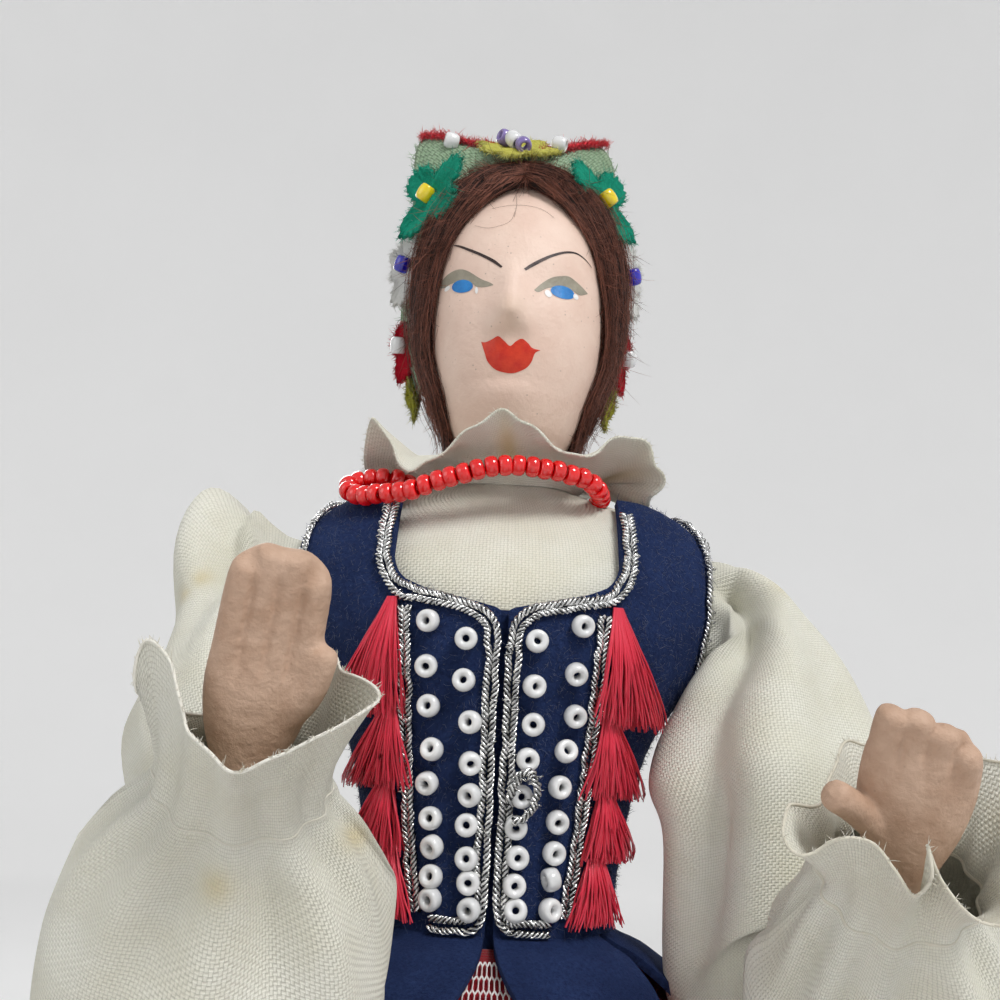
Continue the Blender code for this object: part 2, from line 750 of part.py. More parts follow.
def build_legs():
    for name, side in (("right", -1), ("left", 1)):
        place = Vector((side * LEG_X, 0, 0))

        def leg_point(u, v, place=place):
            z, radius = along(LEG, v)
            return place + Vector((radius * math.sin(TURN * u), -radius * math.cos(TURN * u), z))

        part(name + "_leg", surface("leg", leg_point, 12, 6), "leg_paint", FIGURE)
        boot_rows = BOOT + BOOT_SHAFT
        boot_mesh = surface(
            "boot", lambda u, v, place=place: place + oval(boot_rows, v, TURN * u), 12, 9
        )
        boot = part(name + "_boot", boot_mesh, "boot_paint", FIGURE)
        socket = rod_mesh(name + "_boot_socket", place + Vector((0, 0, 34)), place + Vector((0, 0, 60)), 5.6)
        boolean(boot, [helper(name + "_boot_socket", socket)])


# Head, wig, headband and its flowers

NOSE = {"z": 245.4, "rise": 2.4, "half_width": 2.3, "half_height": 3.4}
# The head and the hollow of the wig have facets in the same places.
HEAD_AROUND, HEAD_ROWS = 22, 13


def head_point(u, v, grow=0.0):
    place = oval(HEAD, v, TURN * u, grow if v < 1 else 0.0)
    if place.y < 0 and grow == 0:
        across = place.x / NOSE["half_width"]
        tall = (place.z - NOSE["z"]) / NOSE["half_height"]
        place.y -= NOSE["rise"] * math.exp(-across * across - tall * tall)
    return place


def build_head():
    mesh = surface("head", head_point, HEAD_AROUND, HEAD_ROWS)
    head = part("head", mesh, "painted_composition", HEAD_PIVOT)
    socket = rod_mesh("head_socket", (0, 0, 220), (0, 0, 243.6), NECK_PEG_RADIUS + RUNNING)
    boolean(head, [helper("head_socket", socket)])


def face_outline():
    half = [along(HAIRLINE, k / 12) for k in range(13)]
    return half + [(-x, z) for x, z in reversed(half[1:])]


def build_wig():
    mesh = surface("wig", lambda u, v: oval(WIG, v, TURN * (u + 0.02)), 20, 10)
    wig = part("wig", mesh, "mohair", HEAD_PIVOT)
    hollow = surface("wig_hollow", lambda u, v: head_point(u, v, 0.4), HEAD_AROUND, HEAD_ROWS)
    window = prism_mesh("face_window", face_outline(), -40, -0.6)
    boolean(wig, [helper("wig_hollow", hollow), helper("face_window", window)])


def band_point(u, v):
    """The band's cloth from its edge on the hair to its flared edge; u runs tip to tip."""
    side, share = (-1, 2 * u) if u < 0.5 else (1, 2 - 2 * u)
    place = Vector(along(BAND_INNER, share)).lerp(Vector(along(BAND_OUTER, share)), v)
    lean = BAND_LEAN * max(place.z - BAND_LEAN_FROM, 0)
    return Vector((side * place.x + lean, place.y, place.z + 0.6))


def build_headband():
    band = part("headband", surface("headband", band_point, 24, 2, closed=False), "green_cloth", HEAD_PIVOT)
    thicken(band, BAND_THICK)
    hollow = surface("band_hollow", lambda u, v: oval(WIG, v, TURN * u, 0.4), 24, 12)
    boolean(band, [helper("band_hollow", hollow)])
    edge = []
    for k in range(17):
        place = band_point(0.40 + 0.20 * k / 16, 1.0)
        edge.append(place + Vector((0, 1.0, 1.3)))
    part("headband_cord", tube_mesh("headband_cord", edge, 1.0), "red_chenille", HEAD_PIVOT)


# Flowers on the headband: place along it, place across it, petals, radius, stretch, material.
FLOWERS = {
    "yellow_flower": (0.5, 0.25, 7, 6.2, 1.0, "yellow_felt"),
    "right_teal_flower": (0.315, 0.42, 4, 5.4, 1.15, "teal_felt"),
    "left_teal_flower": (0.685, 0.42, 4, 5.4, 1.15, "teal_felt"),
    "right_white_flower": (0.205, 0.6, 5, 4.8, 1.15, "white_felt"),
    "left_white_flower": (0.795, 0.6, 5, 4.8, 1.15, "white_felt"),
    "right_red_flower": (0.095, 0.6, 3, 4.2, 1.0, "red_chenille"),
    "left_red_flower": (0.905, 0.6, 3, 4.2, 1.0, "red_chenille"),
    "right_olive_flower": (0.015, 0.6, 3, 2.9, 1.0, "olive_felt"),
    "left_olive_flower": (0.985, 0.6, 3, 2.9, 1.0, "olive_felt"),
}
FLOWER_THICK = 0.9
FLOWER_BEAD = 1.35


def build_flower(name, place, across, petals, radius, stretch, finish):
    """A felt round with petals, cut flat, with a glass bead sewn to its middle."""
    middle = band_point(place, across)
    before, after = band_point(max(place - 0.01, 0), across), band_point(min(place + 0.01, 1), across)
    along_band = (after - before).normalized()
    over_band = (band_point(place, min(across + 0.1, 1)) - band_point(place, across - 0.1)).normalized()
    out = over_band.cross(along_band).normalized()
    if out.dot(middle - Vector((0, 4, 252))) < 0:
        out = -out
    lift = BAND_THICK / 2 + GAP + FLOWER_THICK / 2

    def point(u, v):
        turn = TURN * u
        reach = radius * v * (0.78 + 0.22 * math.cos(petals * turn))
        flat = along_band * stretch * math.cos(turn) + over_band * math.sin(turn)
        return middle + flat * reach + out * (lift + 0.5 * v * v)

    flower = part(name, surface(name, point, petals * 3, 2, closed=False), finish, HEAD_PIVOT)
    thicken(flower, FLOWER_THICK)
    bead = ball_mesh(name + "_bead", middle + out * (lift + FLOWER_BEAD), FLOWER_BEAD, 6, 3)
    boolean(flower, [helper(name + "_bead", bead)], "UNION")


def build_flowers():
    for name, layout in FLOWERS.items():
        build_flower(name, *layout)


# Arms: wire, padding sleeves, ruffled cuffs and hands

ELBOW_RADIUS = 12.5
SLEEVE_CLEARANCE = 0.5
SLEEVE_AROUND, UPPER_SLEEVE_ROWS, LOWER_SLEEVE_ROWS = 16, 11, 8
SLEEVE_HEAD_X, SLEEVE_HEAD_RADIUS = 30.2, 7.5
ARM_WIRE, HUB_RADIUS = 1.4, 3.4
CUFF_WAVES = 6


def upper_sleeve_stations(arm, room=0.0):
    """Sleeve from a puff over the shoulder down to a round elbow: centre, half width, half depths."""
    side = arm["side"]
    elbow = Vector(arm["elbow"])
    puff = [
        (37.4, -1.5, 217.4, 0, 0, 0),
        (37.7, -1.8, 215.2, 3.2, 6.4, 6.4),
        (38.3, -2.4, 210.5, 4.7, 9.4, 9.4),
        (39.0, -3.6, 202.5, 5.7, 11.6, 11.6),
        (38.9, -6.5, 192.5, 8.8, 12.6, 12.6),
        (37.0, -11.5, 181.5, 11.8, 13.2, 13.2),
    ]
    stations = [(side * x, y, z + arm["puff"], wide, up, down) for x, y, z, wide, up, down in puff]
    above = Vector(stations[-1][:3])
    toward = (elbow - above).normalized()
    for share, swell in ((-0.45, 0.96), (0.15, 1.0), (0.65, 0.78), (0.93, 0.42), (1.0, 0.0)):
        centre = elbow + toward * (ELBOW_RADIUS + room) * share
        stations.append((*centre, ELBOW_RADIUS * swell, ELBOW_RADIUS * swell, ELBOW_RADIUS * swell))
    return stations


def lower_sleeve_stations(arm):
    """Full sleeve gathered at the wrist; its cloth hangs below the forearm towards the elbow."""
    wrist, elbow = Vector(arm["wrist"]), Vector(arm["elbow"])
    shape = [
        (0.10, 4.4, 4.4, 4.4),
        (0.22, 8.6, 6.4, 8.0),
        (0.42, 15.0, 8.4, 17.0),
        (0.70, 18.6, 10.0, 22.0),
        (0.95, 18.2, 11.0, 21.0),
        (1.17, 13.0, 8.6, 13.0),
        (1.28, 6.6, 4.4, 6.4),
        (1.32, 0, 0, 0),
    ]
    stations = []
    for t, wide, up, down in shape:
        swell, hang = (1 + (arm[key] - 1) * min(1, 2 * t) for key in ("fullness", "hang"))
        stations.append((*(wrist + (elbow - wrist) * t), wide * swell, up, down * hang))
    return stations


def sleeve_mesh(name, stations, around, rows, folds, grow=0.0):
    """A sleeve's surface with soft lengthwise folds that fade at its two ends."""

    def point(u, v):
        angle = TURN * u
        ease = math.sin(math.pi * v)
        fold = folds * ease * math.cos(5 * angle + 2 * v)
        return limb(stations, v, angle, grow + fold)

    return surface(name, point, around, rows)


def frame_of(arm):
    """The hand's own axes: across the palm towards the thumb, out of the palm, and to the fingertips."""
    ahead = Vector(arm["hand"]).normalized()
    palm = Vector(arm["palm"])
    palm = (palm - ahead * palm.dot(ahead)).normalized()
    across = ahead.cross(palm) * -arm["side"]
    return across, palm, ahead


PALM = [(-2.4, 2.6, 2.4), (0, 2.9, 2.5), (4, 4.2, 2.3), (8, 5.3, 2.2), (11.5, 5.4, 1.8), (13, 4.6, 1.2)]
FINGERS = [(3.75, 19.2), (1.25, 20.6), (-1.25, 20.2), (-3.7, 18.6)]
FINGER_RADIUS = 1.5


def build_hand(name, arm):
    across, palm, ahead = frame_of(arm)
    wrist = Vector(arm["wrist"])

    def place(side, out, reach):
        return wrist + across * side + palm * out + ahead * reach

    def palm_point(u, v):
        reach, wide, thick = along(PALM, v)
        return place(wide * math.sin(TURN * u), thick * math.cos(TURN * u), reach)

    hand = part(name + "_hand", surface("palm", palm_point, 12, 5), "hand_composition", arm["elbow_pivot"])
    digits = []
    for index, (side, longest) in enumerate(FINGERS):
        tip = PALM[-1][0] + (longest - PALM[-1][0]) * arm["finger_reach"]
        line = [place(side * 0.95, 0, 9), place(side, 0.3, 13.4)]
        line += [place(side, 0.9, tip - 1.4), place(side, 1.1, tip)]
        finger = tube_mesh("finger", line, FINGER_RADIUS, [1, 1, 0.9, 0.5])
        digits.append(helper(f"{name}_finger_{index + 1}", finger))
    line = [place(side, out, reach) for side, reach, out in arm["thumb"]]
    line.append(line[-1] + (line[-1] - line[-2]) * 0.35)
    thumb = tube_mesh("thumb", line, FINGER_RADIUS * 1.1, [1.1, 1.1, 0.95, 0.4])
    boolean(hand, digits + [helper(name + "_thumb", thumb)], "UNION")


def build_cuff(name, arm):
    """A ruffle that flares from the gathered wrist towards the fingers."""
    across, palm, ahead = frame_of(arm)
    wrist = Vector(arm["wrist"])

    def point(u, v):
        angle = TURN * u
        wave = math.cos(CUFF_WAVES * angle)
        radius = 4.9 + 6.2 * v**0.8 + 1.5 * v * wave
        reach = 0.9 + 8.8 * v - 0.9 * v * math.cos(2 * CUFF_WAVES * angle)
        return wrist + (across * math.cos(angle) + palm * math.sin(angle)) * radius + ahead * reach

    mesh = surface("cuff", point, 24, 2, closed=False)
    thicken(part(name + "_cuff", mesh, "cream_cotton", arm["elbow_pivot"]), CLOTH_THICK)


def build_arm(name, arm):
    shoulder, elbow, wrist = (Vector(arm[key]) for key in ("shoulder", "elbow", "wrist"))
    down = (elbow - shoulder).normalized()
    fore = (wrist - elbow).normalized()
    # The upper arm's wire turns round the shoulder wire in a hub, and ends at the elbow.
    hub = [shoulder + Vector((arm["side"] * x, 0, 0)) for x in (0.6, 5.0)]
    hub_middle = shoulder + Vector((arm["side"] * 2.8, 0, 0))
    upper = part(
        name + "_upper_arm",
        rod_mesh("upper_arm", hub_middle + down * 2.4, elbow - down * 1.2, ARM_WIRE),
        "steel_wire",
        arm["shoulder_pivot"],
    )
    boolean(upper, [helper(name + "_hub", rod_mesh("hub", *hub, HUB_RADIUS))], "UNION")
    pin = [shoulder + Vector((x, 0, 0)) for x in (-12, 12)]
    boolean(upper, [helper(name + "_hub_bore", rod_mesh("hub_bore", *pin, WIRE_RADIUS + RUNNING))])
    part(
        name + "_forearm",
        rod_mesh("forearm", elbow + fore * 2.6, wrist - fore * 4.5, ARM_WIRE),
        "steel_wire",
        arm["elbow_pivot"],
    )

    upper_stations, lower_stations = upper_sleeve_stations(arm), lower_sleeve_stations(arm)
    mesh = sleeve_mesh("upper_sleeve", upper_stations, SLEEVE_AROUND, UPPER_SLEEVE_ROWS, 0.7)
    sleeve = part(name + "_upper_sleeve", mesh, "cream_cotton", arm["shoulder_pivot"])
    # The sleeve's head fills the armhole, round the shoulder's own axis.
    plug_ends = [shoulder + Vector((arm["side"] * x, 0, 0)) for x in (SLEEVE_HEAD_X - SHOULDER[0], 4.6)]
    plug = helper(name + "_sleeve_head", rod_mesh("sleeve_head", *plug_ends, SLEEVE_HEAD_RADIUS, segments=12))
    room_ends = hub_middle - down * 3, elbow + down * 0.8
    upper_room = rod_mesh("upper_room", *room_ends, ARM_WIRE + GAP, segments=12)
    fore_room = rod_mesh("fore_room", elbow - fore * 2.1, wrist + fore * 9, ARM_WIRE + GAP, segments=10)
    wire_rooms = [helper(name + "_upper_wire_room", upper_room), helper(name + "_fore_wire_room", fore_room)]
    boolean(sleeve, [plug], "UNION")
    hub_room = [shoulder + Vector((arm["side"] * x, 0, 0)) for x in (-8, 6.0)]
    hub_cutter = helper(name + "_hub_room", rod_mesh("hub_room", *hub_room, HUB_RADIUS + GAP))
    boolean(sleeve, wire_rooms + [hub_cutter])

    mesh = sleeve_mesh("lower_sleeve", lower_stations, SLEEVE_AROUND, LOWER_SLEEVE_ROWS, 0.9)
    lower = part(name + "_lower_sleeve", mesh, "cream_cotton", arm["elbow_pivot"])
    room_stations = upper_sleeve_stations(arm, 1.2 * SLEEVE_CLEARANCE)
    swollen = sleeve_mesh(
        "upper_room", room_stations, SLEEVE_AROUND, UPPER_SLEEVE_ROWS, 0.7, SLEEVE_CLEARANCE
    )
    ahead = frame_of(arm)[2]
    wrist_room = rod_mesh("wrist_room", wrist - ahead * 3.4, wrist + ahead * 9, 3.4)
    wrist_cutter = helper(name + "_wrist_room", wrist_room)
    boolean(lower, [helper(name + "_upper_room", swollen), wire_rooms[1], wrist_cutter])
    build_cuff(name, arm)
    build_hand(name, arm)


def main():
    armholes = [armhole_cutter(-1), armhole_cutter(1)]
    build_torso()
    build_blouse(armholes)
    build_collar()
    build_necklace()
    build_vest(armholes)
    build_peplum()
    build_braid()
    build_tassels()
    build_skirt()
    build_apron()
    build_legs()
    build_head()
    build_wig()
    build_headband()
    build_flowers()
    for name, arm in ARMS.items():
        build_arm(name, arm)


main()
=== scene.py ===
"""Looks of the folk costume doll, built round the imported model.

Sizes are millimetres in the doll's own frame, as in the part's source: the doll faces -Y and
stands on z = 0, and +X is the viewer's right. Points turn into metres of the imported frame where
meshes are made.
"""

import math

import bmesh
import bpy
import numpy as np
from mathutils import Matrix, Vector


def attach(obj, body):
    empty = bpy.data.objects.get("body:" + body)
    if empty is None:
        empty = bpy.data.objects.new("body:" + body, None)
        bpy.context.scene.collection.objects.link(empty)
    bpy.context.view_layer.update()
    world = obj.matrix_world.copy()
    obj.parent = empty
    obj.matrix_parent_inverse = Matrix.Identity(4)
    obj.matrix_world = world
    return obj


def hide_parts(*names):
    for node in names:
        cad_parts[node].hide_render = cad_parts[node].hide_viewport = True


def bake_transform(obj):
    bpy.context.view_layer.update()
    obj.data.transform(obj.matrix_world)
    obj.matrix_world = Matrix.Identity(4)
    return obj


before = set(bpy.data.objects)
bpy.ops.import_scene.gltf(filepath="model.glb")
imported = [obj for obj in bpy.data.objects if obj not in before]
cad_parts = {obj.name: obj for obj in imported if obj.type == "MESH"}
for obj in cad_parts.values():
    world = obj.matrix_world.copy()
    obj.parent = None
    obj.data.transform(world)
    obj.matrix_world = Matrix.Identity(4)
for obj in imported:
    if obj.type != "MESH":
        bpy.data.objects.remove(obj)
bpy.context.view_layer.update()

MM = 0.001
TURN = 2 * math.pi
# The doll's own origin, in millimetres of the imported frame.
FIGURE_PLACE = np.array([0.0, 7.2, 0.0])
SIDES = {"right": -1, "left": 1}

# Forms that the part's source also has: height, half width, front depth, back depth.
BODY = [
    (140, 19, 13, 14),
    (150, 17.5, 13, 13),
    (160, 14.5, 12, 11.5),
    (172, 15.5, 12.5, 11.5),
    (185, 19, 15, 12),
    (196, 26, 17.5, 12.5),
    (204, 29, 16.8, 12.5),
    (211, 28.5, 13.5, 12),
    (216, 23, 10.5, 10.5),
    (219, 14, 8.5, 9.5),
    (221, 8.5, 7.5, 8.5),
    (226, 7, 7, 7.5),
]
HEAD = [
    (227.5, 8.0, 7.8, 7.6),
    (230, 9.2, 9.4, 8.4),
    (235, 11.2, 11.8, 10.6),
    (240, 12.8, 13.6, 12.8),
    (246, 13.8, 14.5, 14.4),
    (252, 14.1, 14.5, 15.3),
    (258, 13.8, 13.8, 15.5),
    (264, 12.5, 11.9, 14.5),
    (269, 9.8, 8.9, 11.7),
    (272.6, 5.5, 5, 6.9),
    (274, 0, 0, 0),
]
# The neck goes on below the head, over the top of the stuffed body.
NECK = (224.8, 7.75, 7.6, 8.1)
WIG = [
    (231, 10.6, 4.4, 13.8),
    (236, 13.4, 6.6, 16.2),
    (244, 16.4, 8.6, 18.2),
    (252, 17.6, 10.2, 19.0),
    (260, 17.4, 11.4, 18.8),
    (267, 15.6, 12.2, 16.8),
    (272.5, 11.8, 10, 12.8),
    (275.8, 6.4, 5.8, 7.2),
    (277, 0, 0, 0),
]
# Half of the hair's edge round the face, crown parting to jaw: x, z.
HAIRLINE = [(0, 269.8), (5.8, 265.8), (11.0, 259.2), (13.3, 250), (13.5, 242), (11.0, 234.5), (9.4, 226)]
# Half of the headband's edge on the hair and of its flared edge, jaw to crown: x, y, z.
BAND_INNER = [
    (15.2, 3, 238),
    (17.2, 2, 247),
    (17.2, -1, 258),
    (14.0, -4.4, 268),
    (8.6, -5.6, 273.6),
    (0, -5.8, 276.6),
]
BAND_OUTER = [
    (15.8, 7, 236.5),
    (18.8, 6.4, 247),
    (19.2, 3.6, 259),
    (17.6, -0.4, 270),
    (15.2, -1.4, 281.8),
    (0, -1.6, 279.6),
]
BAND_LEAN, BAND_LEAN_FROM = -0.09, 262.0
# Share of the band's breadth that is tucked into the hair.
BAND_TUCK = 0.6
# How much nearer to the hair the band lies on the left than on the right.
BAND_SNUG = 1.1
SKIRT = [(158.6, 16.7), (150, 26), (136, 33), (112, 40), (76, 48), (30, 56)]
SKIRT_DEPTH, SKIRT_FOLDS, HEM_FOLD = 0.87, 14, 3.4
WAIST_Z, VEST_TOP_Z = 160.0, 216.8
BLOUSE_MIDDLE, VEST_MIDDLE, VEST_THICK = 0.85, 2.3, 1.1
VEST_OUTER = VEST_MIDDLE + VEST_THICK / 2
ARMHOLE = {"y": 1.5, "z": 203.5, "half_depth": 8.5, "half_height": 11.0}
SHOULDER = (34.0, 1.5, 205.0)

ARMS = {
    "right": {
        "side": -1,
        "elbow": (-29.5, -24, 163),
        "wrist": (-24.5, -50, 179.5),
        "hand": (0.18, -0.43, 0.88),
        "palm": (0.15, -0.88, -0.45),
        "thumb": [(3.0, 5.5, 0.6), (4.7, 9.0, 1.2), (5.2, 12.6, 1.3)],
        "fingers": [(3.3, 20.3), (1.2, 22.2), (-1.2, 22.3), (-3.3, 20.7)],
        "mitten": [(18.4, 4.9, 1.7), (20.6, 4.2, 1.4), (21.9, 2.6, 0.9)],
        "smoothing": 48,
    },
    "left": {
        "side": 1,
        "elbow": (37, -21, 157),
        "wrist": (38, -49.5, 173.5),
        "hand": (0.02, -0.52, 0.85),
        "palm": (-0.2, -0.84, -0.5),
        "thumb": [(3.0, 4.2, 0.9), (5.5, 6.6, 2.1), (7.4, 8.0, 3.1)],
        "fingers": [(3.5, 16.7), (1.2, 16.7), (-1.2, 15.7), (-3.4, 14.1)],
        "mitten": [(12.9, 4.5, 1.6), (14.8, 3.2, 1.2)],
        "smoothing": 8,
    },
}


# Curves and surfaces, on whole arrays


def dice(name):
    """Random numbers of a piece's own, the same at each run."""
    return np.random.default_rng(sum(name.encode()))


def along(rows, t):
    """A smooth curve through rows of numbers, by Catmull-Rom; t runs from 0 to 1."""
    rows = np.asarray(rows, float)
    place = np.clip(np.asarray(t, float), 0, 1) * (len(rows) - 1)
    index = np.minimum(place.astype(int), len(rows) - 2)
    f = (place - index)[..., None]
    a, b, c, d = (rows[np.clip(index + k, 0, len(rows) - 1)] for k in (-1, 0, 1, 2))
    return 0.5 * (2 * b + (c - a) * f + (2 * a - 5 * b + 4 * c - d) * f**2 + (3 * b - a - 3 * c + d) * f**3)


def where(rows, z):
    """The t at which a curve of rows, each starting with a height, passes the height z."""
    t = np.linspace(0, 1, 1500)
    heights = along(rows, t)[:, 0]
    if heights[-1] < heights[0]:
        t, heights = t[::-1], heights[::-1]
    return np.interp(z, np.maximum.accumulate(heights), t)


def oval(rows, t, angle, grow=0.0):
    """Points on a lofted form of ovals; angle 0 is the front, and grow swells the form."""
    z, half_width, front, back = np.moveaxis(along(rows, t), -1, 0)
    x = (half_width + grow) * np.sin(angle)
    y = -(np.where(np.cos(angle) > 0, front, back) + grow) * np.cos(angle)
    return np.stack(np.broadcast_arrays(x, y, z), -1)


def unit(vectors):
    return vectors / np.maximum(np.linalg.norm(vectors, axis=-1, keepdims=True), 1e-9)


def smooth(value, low=0.0, high=1.0):
    """Eases from 0 at low to 1 at high."""
    share = np.clip((value - low) / (high - low), 0, 1)
    return share * share * (3 - 2 * share)


def bell(value, middle, width):
    return np.exp(-(((value - middle) / width) ** 2))


def off_form(rows, t, angle, distance):
    """Points at a distance outside a form of ovals, along the form's own normal."""
    step = 1e-3
    round_way = oval(rows, t, angle + step) - oval(rows, t, angle - step)
    up_way = oval(rows, np.minimum(t + step, 1), angle) - oval(rows, np.maximum(t - step, 0), angle)
    normal = unit(np.cross(round_way, up_way))
    return oval(rows, t, angle) + normal * np.asarray(distance)[..., None], normal


def on_front(x, z, distance):
    """Points over the front of the body that are seen at x, z from straight ahead, and normals."""
    x, z, distance = (np.asarray(value, float) for value in np.broadcast_arrays(x, z, distance))
    seek_x, seek_z = x.copy(), z.copy()
    for _ in range(12):
        t = where(BODY, seek_z)
        angle = np.arcsin(np.clip(seek_x / along(BODY, t)[..., 1], -0.99, 0.99))
        found, normal = off_form(BODY, t, angle, distance)
        seek_x += x - found[..., 0]
        seek_z += z - found[..., 2]
    return found, normal


def mesh_grid(u_count, v_count, wrap=False):
    """u along columns and v along rows, each from 0 to 1."""
    u = np.arange(u_count) / (u_count if wrap else u_count - 1)
    v = np.linspace(0, 1, v_count)
    return np.meshgrid(u, v)


def resample(points, count):
    """A polyline's points at even spacing."""
    steps = np.linalg.norm(np.diff(points, axis=0), axis=1)
    reach = np.concatenate([[0], np.cumsum(steps)])
    wanted = np.linspace(0, reach[-1], count)
    return np.stack([np.interp(wanted, reach, points[:, k]) for k in range(3)], -1)


def length_of(points):
    return float(np.linalg.norm(np.diff(points, axis=0), axis=1).sum())


# Meshes


def in_frame(points):
    """Points of the doll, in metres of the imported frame."""
    return (np.asarray(points, float) + FIGURE_PLACE) * MM


def in_doll(points):
    """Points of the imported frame, in the doll's millimetres."""
    return points / MM - FIGURE_PLACE


def linked(name, data):
    """A new object in the scene."""
    obj = bpy.data.objects.new(name, data)
    bpy.context.scene.collection.objects.link(obj)
    return obj


def new_mesh(name, points, faces):
    """A smooth mesh object from points in the doll's frame and faces of one size."""
    points = in_frame(points).reshape(-1, 3)
    faces = np.asarray(faces, np.int32)
    mesh = bpy.data.meshes.new(name)
    mesh.vertices.add(len(points))
    mesh.vertices.foreach_set("co", points.astype(np.float32).ravel())
    mesh.loops.add(faces.size)
    mesh.loops.foreach_set("vertex_index", faces.ravel())
    mesh.polygons.add(len(faces))
    mesh.polygons.foreach_set("loop_start", np.arange(0, faces.size, faces.shape[1], dtype=np.int32))
    mesh.update(calc_edges=True)
    mesh.validate()
    mesh.shade_smooth()
    return linked(name, mesh)


def set_attribute(obj, name, values):
    """A number on each point, which a material reads."""
    attribute = obj.data.attributes.new(name, "FLOAT", "POINT")
    attribute.data.foreach_set("value", np.asarray(values, np.float32).ravel())


def grid(name, points, wrap=False, flip=False):
    """A mesh over rows and columns of points, with cloth coordinates in millimetres."""
    rows, cols = points.shape[:2]
    r, c = np.meshgrid(np.arange(rows - 1), np.arange(cols if wrap else cols - 1), indexing="ij")
    corners = [(r, c), (r, c + 1), (r + 1, c + 1), (r + 1, c)]
    if flip:
        corners.reverse()
    faces = np.stack([a * cols + b % cols for a, b in corners], -1).reshape(-1, 4)
    obj = new_mesh(name, points, faces)
    width, lengths = flat_size(points, wrap)
    across = np.stack([b for _, b in corners], -1) * width / (cols if wrap else cols - 1)
    down = lengths[np.stack([a for a, _ in corners], -1)]
    layer = obj.data.uv_layers.new(name="cloth")
    if len(layer.data) == across.size:
        layer.data.foreach_set("uv", np.stack([across, down], -1).astype(np.float32).ravel())
    return obj


def flat_size(points, wrap=False):
    """Width of the cloth at its widest, and the length of cloth at each row."""
    looped = np.concatenate([points, points[:, :1]], axis=1) if wrap else points
    width = np.linalg.norm(np.diff(looped, axis=1), axis=2).sum(axis=1).max()
    steps = np.linalg.norm(np.diff(points, axis=0), axis=2).mean(axis=1)
    return width, np.concatenate([[0], np.cumsum(steps)])


def area_of(obj):
    return sum(face.area for face in obj.data.polygons)


LEAST_SIDE, LEAST_SHARE = 10 * MM, 0.31


def declare_sheet(obj, points, wrap=False):
    """Works out a grid's cloth: its flat size, and its area where the cut isn't a rectangle; neither is
    kept.
    """
    width, lengths = flat_size(points, wrap)
    flat = (max(width * MM, LEAST_SIDE), max(lengths[-1] * MM, LEAST_SIDE))
    rectangle = flat[0] * flat[1]
    area = min(max(area_of(obj), LEAST_SHARE * rectangle), rectangle)


def strands(name, paths, radius, sides=3, tip=0.35, tones=None, normals=None):
    """Many thin tubes in one mesh: paths is strands by points by xyz, radius one or per strand."""
    paths = np.asarray(paths, float)
    count, points = paths.shape[:2]
    ahead = unit(np.gradient(paths, axis=1))
    if normals is None:
        normals = np.where(np.abs(ahead[..., 2:]) > 0.9, (1.0, 0, 0), (0, 0, 1.0))
    side = unit(np.cross(ahead, normals))
    top = np.cross(side, ahead)
    thin = np.ones(points)
    thin[-1] = tip
    thick = np.broadcast_to(np.asarray(radius, float), (count,))[:, None] * thin
    turn = TURN * np.arange(sides) / sides
    ring = side[:, :, None] * np.cos(turn)[:, None] + top[:, :, None] * np.sin(turn)[:, None]
    verts = paths[:, :, None] + ring * thick[:, :, None, None]
    index = np.arange(count * points * sides).reshape(count, points, sides)
    after = np.roll(index, -1, axis=2)
    faces = np.stack([index[:, :-1], after[:, :-1], after[:, 1:], index[:, 1:]], -1).reshape(-1, 4)
    obj = new_mesh(name, verts, faces)
    if tones is None:
        tones = dice(name).random(count)
    tones = np.broadcast_to(np.asarray(tones, float).reshape(count, -1), (count, points))
    set_attribute(obj, "tone", np.repeat(tones.ravel(), sides))
    return obj


def beads(name, centres, axes, outer=1.5, hole=0.45, half_length=1.05, square=0.78):
    """Seed beads: rounded rings of glass with a hole along each bead's axis; square 1 is round."""
    centres, axes = np.asarray(centres, float), unit(np.asarray(axes, float))
    around, section = 20, 12
    a, b = np.meshgrid(TURN * np.arange(section) / section, TURN * np.arange(around) / around, indexing="ij")
    wall = (outer - hole) / 2
    out = (outer + hole) / 2 + wall * np.sign(np.cos(a)) * np.abs(np.cos(a)) ** square
    lift = half_length * np.sign(np.sin(a)) * np.abs(np.sin(a)) ** square
    ring = np.stack([out * np.cos(b), out * np.sin(b), lift], -1).reshape(-1, 3)
    hint = np.where(np.abs(axes[:, :1]) > 0.8, (0, 1.0, 0), (1.0, 0, 0))
    side = unit(np.cross(axes, hint))
    top = np.cross(axes, side)
    frames = np.stack([side, top, axes], 1)
    verts = centres[:, None] + np.einsum("pk,bkx->bpx", ring, frames)
    index = np.arange(section * around).reshape(section, around)
    down, right = np.roll(index, -1, 0), np.roll(index, -1, 1)
    both = np.roll(down, -1, 1)
    one = np.stack([index, right, both, down], -1).reshape(-1, 4)
    faces = (one[None] + np.arange(len(centres))[:, None, None] * index.size).reshape(-1, 4)
    obj = new_mesh(name, verts, faces)
    set_attribute(obj, "tone", np.repeat(dice(name).random(len(centres)), index.size))
    return obj


